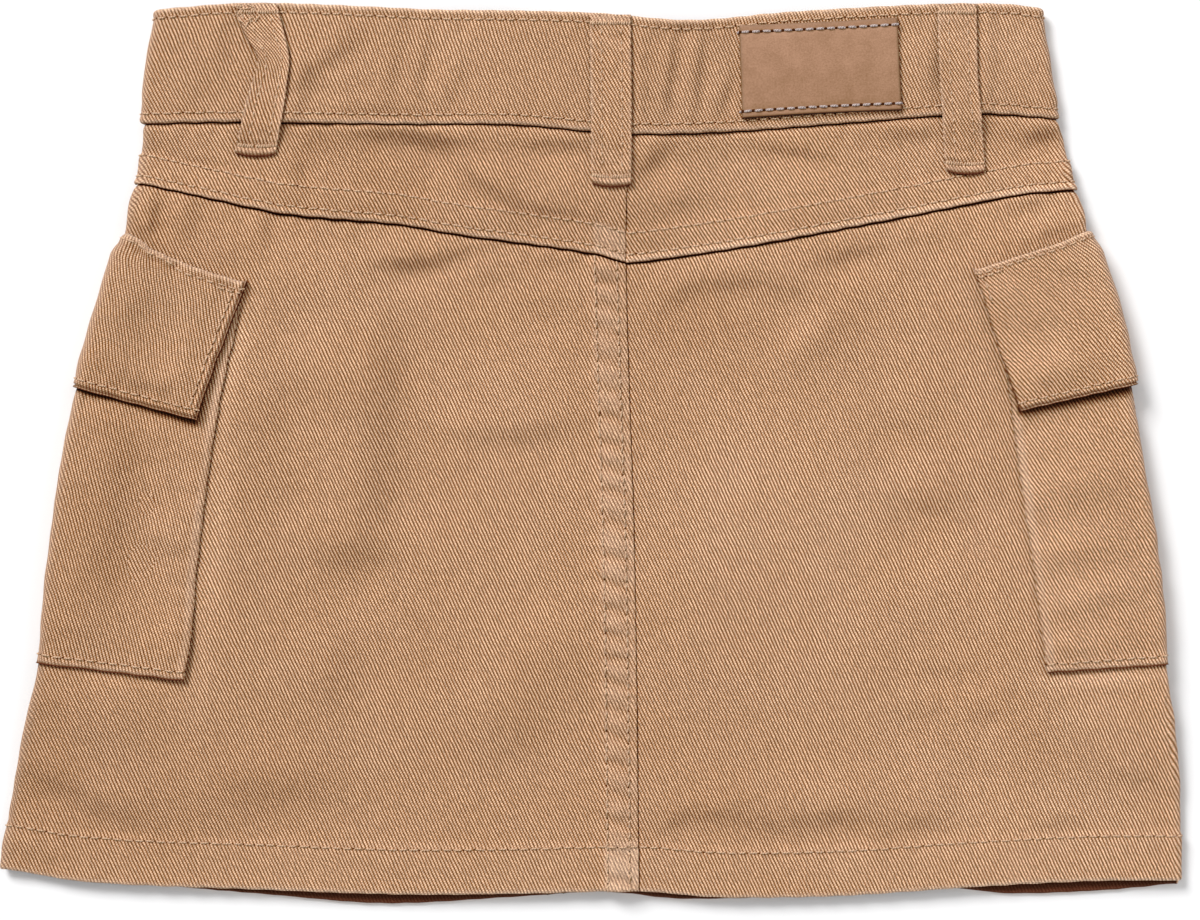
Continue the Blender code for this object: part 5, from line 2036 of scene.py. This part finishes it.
@dataclass
class BeltLoop(Piece):
    """A folded strap tacked over the band. Each section gives height, edges, and how high they stand."""

    node: str = ""
    sections: tuple[tuple[float, float, float, float, float], ...] = ()
    on_back: bool = True
    seed: float = 91.0
    tack_inset: float = 3.3
    rows: tuple[float, float] = (0.27, 0.76)
    crossed: tuple[float, float] = (-9.0, 0.0)
    tone: float = 0.98

    def seat(self, x: Array, y: Array) -> Array:
        """Height where the strap would lie on the band and yoke.

        Args:
            x: Places across.
            y: Heights.

        Returns:
            The strap's seat.
        """
        form = self.form
        felled = 0.6 * ramp(np.abs(x - 6) - 8, 4.0)
        strip = 0.8 * ramp(y - form.yoke_edge(x) - 9.8, 3.0)
        on_band = ramp(form.band_bottom(x) - 1.0 - y, 6.0)
        wall = mix(form.yoke + np.maximum(felled, strip), form.band, on_band)
        folds = mix(folded(YOKE_FOLDS, x, y), folded(BAND_FOLDS, x, y), on_band)
        over = np.clip((y - form.band_top(x) + 0.8) / 1.8, 0, 1.2)
        return form.back_face(x, y) + wall + np.maximum(folds, 0) + form.gap - 1.3 * over**2

    def build(self) -> None:
        """Makes the strap and its bar tacks."""
        table = np.array(self.sections)[::-1]
        low, high = table[0, 0], table[-1, 0]
        length = high - low
        down = graded(length, 0.8)
        across = graded(self.form.loop_width, 0.7)
        heights = (high - down * length)[:, None]
        left, right, lift_left, lift_right = (
            spline(*zip(table[:, 0], column))(heights) for column in table[:, 1:].T)
        low_end = heights - low
        tuck = 1.1 * (1 - np.sqrt(1 - (1 - np.clip(low_end / 1.1, 0, 1)) ** 2)) if self.on_back else 0.0
        x = mix(left + tuck, right - tuck, across)
        drop = 0.45 - 0.9 * (1 - ((across - 0.55) / 0.55) ** 2) if self.on_back else 0.0
        y = heights + drop * bell(low_end, 5.0) + 0 * x
        from_side = np.minimum(across, 1 - across) * (right - left)
        from_end = (np.minimum(down, 1 - down) * length)[:, None]
        roll = edge_roll((from_side, from_end + 0 * x), 0.4)
        width = right - left
        from_bottom = length * (1 - down)[:, None] + 0 * x
        pucker = 0.16 * ripple(y + 3 * across, 6.5, self.seed) * bell(from_end - 4, 7)
        relief = 0.1 * rumple(x, y, 5, self.seed) + pucker - 0.35 * bell(from_bottom - self.tack_inset, 0.9)
        relief = relief + 0.6 * bell(from_bottom - 1.4, 0.9) + 0.4 * bell(from_bottom - 5.0, 0.7)
        for place in self.rows:
            relief -= 0.16 * bell((across - place) * width, 0.8)
        wall = self.form.loop
        if self.on_back:
            base = self.seat(x, y) + mix(lift_left, lift_right, across) - 0.15
            face, relief = 1.0, relief - 0.65
        else:
            base, face = 0 * x + wall, -1.0
            relief = np.minimum(relief, 0) - 0.5
        outer = np.stack((x, y, base + face * (wall / 2 * (1 + roll) + relief * roll)), axis=-1)
        inner = np.stack((x, y, base + face * wall / 2 * (1 - roll)), axis=-1)
        wear = np.maximum(0.5 * bell(from_side, 0.8), 0.55 * bell(from_end, 3.0) + 0 * x)
        wear = np.clip(wear + 0.14 + 0.2 * rumple(x, y, 5, self.seed + 1), 0, 1)
        flat_x = across * self.form.loop_width + 0 * x
        flat = np.stack((flat_x, y + 0.4 * rumple(x, y, 8, self.seed)), axis=-1)
        # The edge mark is painted shade: along the strap's lower end, along its right side broken into dots,
        # and along its left side at the twist.
        holes = 0.45 + 0.55 * np.sin(np.pi * y / 2.1) ** 2
        edge = np.maximum(bell(from_bottom, 1.35), 0.9 * holes * bell((1 - across) * width, 0.3))
        beyond = np.abs(y - self.crossed[0]) - self.crossed[1]
        edge = np.maximum(edge, bell(across * width, 0.45) * ramp(beyond, 1.5))
        lit = 0.12 * bool(self.crossed[1]) * ramp((1 - across) * width - 1, 4.0)
        tone = self.tone * washed_and_painted_light(x, y) * (1 + lit)
        cut = Cut(outer, inner, flat, {"wear": wear, "edge": edge, "tone": tone})
        self.dress(f"{self.node}_strap", self.node, cut, "loop_twill", "loop_twill", ["waistband"])
        stitched = self._tacks(cut, down * length, length)
        for place in self.rows:
            points, normals = cut.contour(across, place, down=True)
            keep = (points[:, 1] < high - 3.5) & (points[:, 1] > low + self.tack_inset + 1.5)
            points, normals = clip_path(points - 0.1 * normals, normals, keep)
            stitched.append(StitchRow(points, normals, pitch=2.9, length=2.0, radius=0.2))
        if self.crossed[1]:
            stitched += self._frayed(cut)
        self.stitch(f"{self.node}_tacks", stitched, "loop_twill")

    @staticmethod
    def _frayed(cut: Cut) -> list[StitchRow]:
        """Loose threads that lie any way over the strap's upper left corner.

        Args:
            cut: The cut strap.

        Returns:
            A row of one stitch for each thread.
        """
        rows = []
        for number in range(14):
            row, column = 4 + (number * 5) % 9, 1 + (number * 7) % 11
            middle, up = cut.outer[row, column], cut.normals[row, column]
            lead = 1.6 * np.array([math.cos(2.4 * number), math.sin(2.4 * number), 0.0])
            points = np.array([middle - lead, middle + 0.1 * up, middle + lead])
            ups = np.tile(up, (3, 1))
            rows.append(StitchRow(points, ups, pitch=3.2, length=3.1, radius=0.2, holes=False))
        return rows

    def _tacks(self, cut: Cut, from_top: Array, length: float) -> list[StitchRow]:
        """Close side-by-side stitches across the strap near both its ends.

        Args:
            cut: The cut strap.
            from_top: Distances from the top.
            length: The strap's length.

        Returns:
            A short row for each stitch.
        """
        rows = []
        normals = cut.normals
        for place in (2.6, length - self.tack_inset):
            at = place + np.linspace(-0.7, 0.7, 5)
            for column in np.linspace(3, cut.outer.shape[1] - 4, 17).astype(int):
                points, ups = (
                    np.stack([np.interp(at, from_top, values[:, column, i]) for i in range(3)], axis=-1)
                    for values in (cut.outer, normals))
                points = points + ups * 0.02
                rows.append(StitchRow(points, ups, pitch=1.35, length=1.3, radius=0.3, holes=False))
        return rows


@dataclass
class LeatherPatch(Piece):
    """A bare leather patch on the band, sewn along its top and bottom."""

    corners: tuple[tuple[float, float], ...] = ((45.9, 131.9), (94.9, 134.2), (46.8, 102.9), (96.3, 105.4))
    width: float = 49.0
    length: float = 29.0
    row: float = 2.2

    def build(self) -> None:
        """Makes the patch and its stitching."""
        (tl, tr, bl, br) = self.corners
        across, down = graded(self.width, 0.8), graded(self.length, 0.8)[:, None]
        x = mix(mix(tl[0], tr[0], across), mix(bl[0], br[0], across), down)
        y = mix(mix(tl[1], tr[1], across), mix(bl[1], br[1], across), down)
        from_side = np.minimum(across, 1 - across) * self.width
        from_end = np.minimum(down, 1 - down) * self.length
        y = y - 0.25 * np.sin(np.pi * across) * (1 - 2 * down)
        base = self.form.back_face(x, y) + self.form.band + self.form.gap
        roll = edge_roll((from_side + 0 * x, from_end + 0 * x), 0.5)
        relief = -0.22 * bell(from_end - self.row, 0.7) + 0.12 * rumple(x, y, 16, 3)
        relief += 0.05 * rumple(x, y, 4, 4)
        relief += 0.25 * bell(np.hypot(from_side, from_end), 5)
        wall = self.form.patch
        outer = np.stack((x, y, base + wall * (0.25 + 0.75 * roll) + relief), axis=-1)
        inner = np.stack((x, y, base + wall * 0.25 * (1 - roll)), axis=-1)
        # Wear: rubbed edges, and painted shade along the bottom edge. Tone: painted light, lighter at the top
        # and darker at the bottom.
        wear = np.maximum(0.5 * bell(np.minimum(from_side, from_end + 0 * x), 0.6),
                          bell((1 - down) * self.length + 0 * x, 0.5))
        marks = {"wear": wear, "tone": mix(1.12, 0.92, down)}
        cut = Cut(outer, inner, np.stack((x, y), axis=-1), marks)
        shell = shell_object("leather_patch", cut, self.wardrobe.leather)
        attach(shell, "root")
        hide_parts("patch")
        rows = []
        for place in (0.0, 1.0):
            inset = mix(self.row, self.length - self.row, place)
            points, normals = cut.contour(down * self.length, inset)
            lead = 1.6 * (points[1] - points[0]) / np.linalg.norm(points[1] - points[0])
            drop = np.array([0, 0, -0.9])
            points = np.concatenate(([points[0] - lead + drop], [points[0] - 0.2 * lead], points[1:-1],
                                     [points[-1] + 0.2 * lead], [points[-1] + lead + drop]))
            normals = np.concatenate((normals[:1], normals, normals[-1:]))
            points = points + 0.08 * normals
            rows.append(StitchRow(points, normals, pitch=3.2, length=2.5, radius=0.4, hole=0.5))
        self.stitch("leather_patch_thread", rows, "patch_leather", Thread.GREY)
        LOG.info("leather_patch: %d faces", len(shell.data.polygons))


@dataclass
class Button(Piece):
    """The four-hole button under the closure, held by two crossed threads."""

    hole_reach: float = 1.9

    def build(self) -> None:
        """Dresses the button and threads it."""
        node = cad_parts["button"]
        for slot in node.material_slots:
            slot.material = self.wardrobe.plastic
        low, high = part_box("button")
        middle = np.array([(low[0] + high[0]) / 2, (low[1] + high[1]) / 2]) / MM
        rows = []
        for turn in (45, 135):
            reach = self.hole_reach * np.array([math.cos(math.radians(turn)), math.sin(math.radians(turn))])
            ends = np.array([[*(middle - reach), 0.55], [*middle, 0.55], [*(middle + reach), 0.55]])
            for shift in (-0.22, 0.22):
                aside = shift * np.array([-reach[1], reach[0], 0]) / self.hole_reach
                rows.append(StitchRow(ends + aside, np.tile([0.0, 0.0, -1.0], (3, 1)), pitch=3.7, length=3.6,
                                      radius=0.22))
        self.stitch("button_thread", rows, "button_plastic")
        LOG.info("button: dressed")


# ---- studio

@dataclass
class Studio:
    """A pale floor, soft light from the waist's left, and a camera straight above."""

    frame_width: float = 0.372
    lens: float = 100.0
    sensor: float = 36.0
    aim: tuple[float, float, float] = (0.0028, -0.0028, 0.006)
    film: tuple[tuple[float, float], ...] = (
        (0.015, 0.006), (0.03, 0.016), (0.06, 0.042), (0.1, 0.09), (0.14, 0.14), (0.3, 0.3), (0.6, 0.6))

    def build(self) -> None:
        """Sets up the floor, lights and camera."""
        self._floor()
        self._lights()
        self._camera()

    def _floor(self) -> None:
        """A plane that reaches far past the view."""
        size = 6000.0
        points = np.array([[-size, -size, 0], [size, -size, 0], [size, size, 0], [-size, size, 0]])
        plane = mesh_object("floor", points, np.array([[0, 1, 2, 3]]), [FloorFinish().material()])

    def _lights(self) -> None:
        """A large soft key from the upper left, a weak fill, and a white room."""
        for name, place, size, power in (
            ("key", (-2.15, 2.85, 2.75), 1.8, 208.0),
            ("fill", (1.1, 0.25, 0.9), 1.0, 3.0),
        ):
            light = bpy.data.lights.new(name, "AREA")
            light.shape = "SQUARE"
            light.size = size
            light.energy = power
            holder = bpy.data.objects.new(name, light)
            bpy.context.scene.collection.objects.link(holder)
            holder.location = place
            aim = np.array(place)
            holder.rotation_euler = (
                math.atan2(math.hypot(aim[0], aim[1]), aim[2]), 0.0, math.atan2(aim[1], aim[0]) + math.pi / 2)
        world = bpy.data.worlds.new("room")
        world.use_nodes = True
        world.node_tree.nodes["Background"].inputs["Color"].default_value = (1.0, 1.0, 1.0, 1.0)
        world.node_tree.nodes["Background"].inputs["Strength"].default_value = 0.5
        bpy.context.scene.world = world
        view = bpy.context.scene.view_settings
        view.view_transform = "Standard"
        view.use_curve_mapping = True
        for point in self.film:
            view.curve_mapping.curves[3].points.new(*point)
        view.curve_mapping.update()

    def _camera(self) -> None:
        """A long lens straight above, up toward the waist."""
        data = bpy.data.cameras.new("camera")
        data.lens, data.sensor_width = self.lens, self.sensor
        distance = self.frame_width * self.lens / self.sensor
        camera = bpy.data.objects.new("camera", data)
        camera.location = (self.aim[0], self.aim[1], self.aim[2] + distance)
        bpy.context.scene.collection.objects.link(camera)
        bpy.context.scene.camera = camera


BACK_LOOPS = {
    "loop_back_left": (
        (138.6, -109.4, -97.0, 0.0, 0.0), (134.5, -109.2, -96.2, 0.1, 0.1), (129.0, -107.4, -94.8, 0.5, 0.3),
        (121.2, -103.2, -93.3, 0.8, 0.4), (113.5, -105.2, -94.1, 0.5, 0.4), (106.6, -107.3, -95.0, 0.4, 0.4),
        (100.5, -108.5, -96.1, 0.4, 0.3), (95.0, -109.9, -97.1, 0.1, 0.1), (91.5, -110.7, -97.7, 0.0, 0.0),
    ),
    "loop_back_center": (
        (134.8, -0.3, 12.4, 0.0, 0.0), (130.5, -0.3, 12.4, 0.1, 0.1), (122.0, -0.2, 12.5, 0.3, 0.3),
        (110.0, -0.1, 12.6, 0.35, 0.35), (100.0, 0.0, 12.6, 0.3, 0.3), (94.0, 0.0, 12.6, 0.2, 0.2),
        (86.0, 0.1, 12.6, 0.0, 0.0), (81.8, 0.1, 12.6, 0.0, 0.0),
    ),
    "loop_back_right": (
        (138.5, 107.3, 119.6, 0.0, 0.0), (133.0, 107.4, 119.6, 0.3, 0.2), (125.0, 107.6, 119.7, 0.5, 0.4),
        (115.9, 108.0, 119.9, 0.5, 0.5), (105.7, 108.7, 120.9, 0.3, 0.3), (97.0, 109.2, 121.7, 0.2, 0.2),
        (90.0, 109.7, 122.3, 0.0, 0.0), (86.0, 110.2, 122.2, 0.0, 0.0),
    ),
}


def front_loop_sections(form: Form, middle: float) -> tuple[tuple[float, float, float, float, float], ...]:
    """Sections of a flat front strap.

    Args:
        form: The skirt's form.
        middle: The strap's place across.

    Returns:
        Height, edges and lifts for each section.
    """
    top = float(form.band_top(middle)) - 1.5
    bottom = float(form.band_bottom(middle)) - form.loop_below
    half = form.loop_width / 2
    return tuple((mix(top, bottom, i / 3), middle - half, middle + half, 0.0, 0.0) for i in range(4))


def main() -> None:
    """Builds the skirt piece by piece, then the studio."""
    wardrobe = Wardrobe()
    wardrobe.fill()
    shared = {"form": FORM, "wardrobe": wardrobe}
    for side in (FORM.left, FORM.right):
        on_left = side.sign < 0
        HalfPanel(**shared, side=side, on_back=True).build()
        HalfPanel(**shared, side=side, on_back=False, pitch=2.0).build()
        Yoke(**shared, side=side).build()
        SideWrap(**shared, side=side, bow=0.6 if on_left else 1.0,
                 corner_lift=0.8 if on_left else 0.0).build()
        SideWrap(**shared, side=side, is_flap=True, pitch=0.95, bow=0.0 if on_left else 1.2,
                 edge_lift=0.1 if on_left else 0.3, corner_lift=0.4 if on_left else 0.3).build()
    Waistband(**shared).build()
    for number, (node, sections) in enumerate(BACK_LOOPS.items()):
        crossed = (-9.0, 0.0) if number else (127.5, 5.0)
        BeltLoop(**shared, node=node, sections=sections, seed=91.0 + number, crossed=crossed).build()
    for node, middle in zip(("loop_front_left", "loop_front_right"), FORM.front_loops):
        BeltLoop(**shared, node=node, sections=front_loop_sections(FORM, middle), on_back=False).build()
    LeatherPatch(**shared).build()
    Button(**shared).build()
    Studio().build()


if __name__ == "__main__":
    logging.basicConfig(level=logging.INFO, format="%(message)s")
    main()
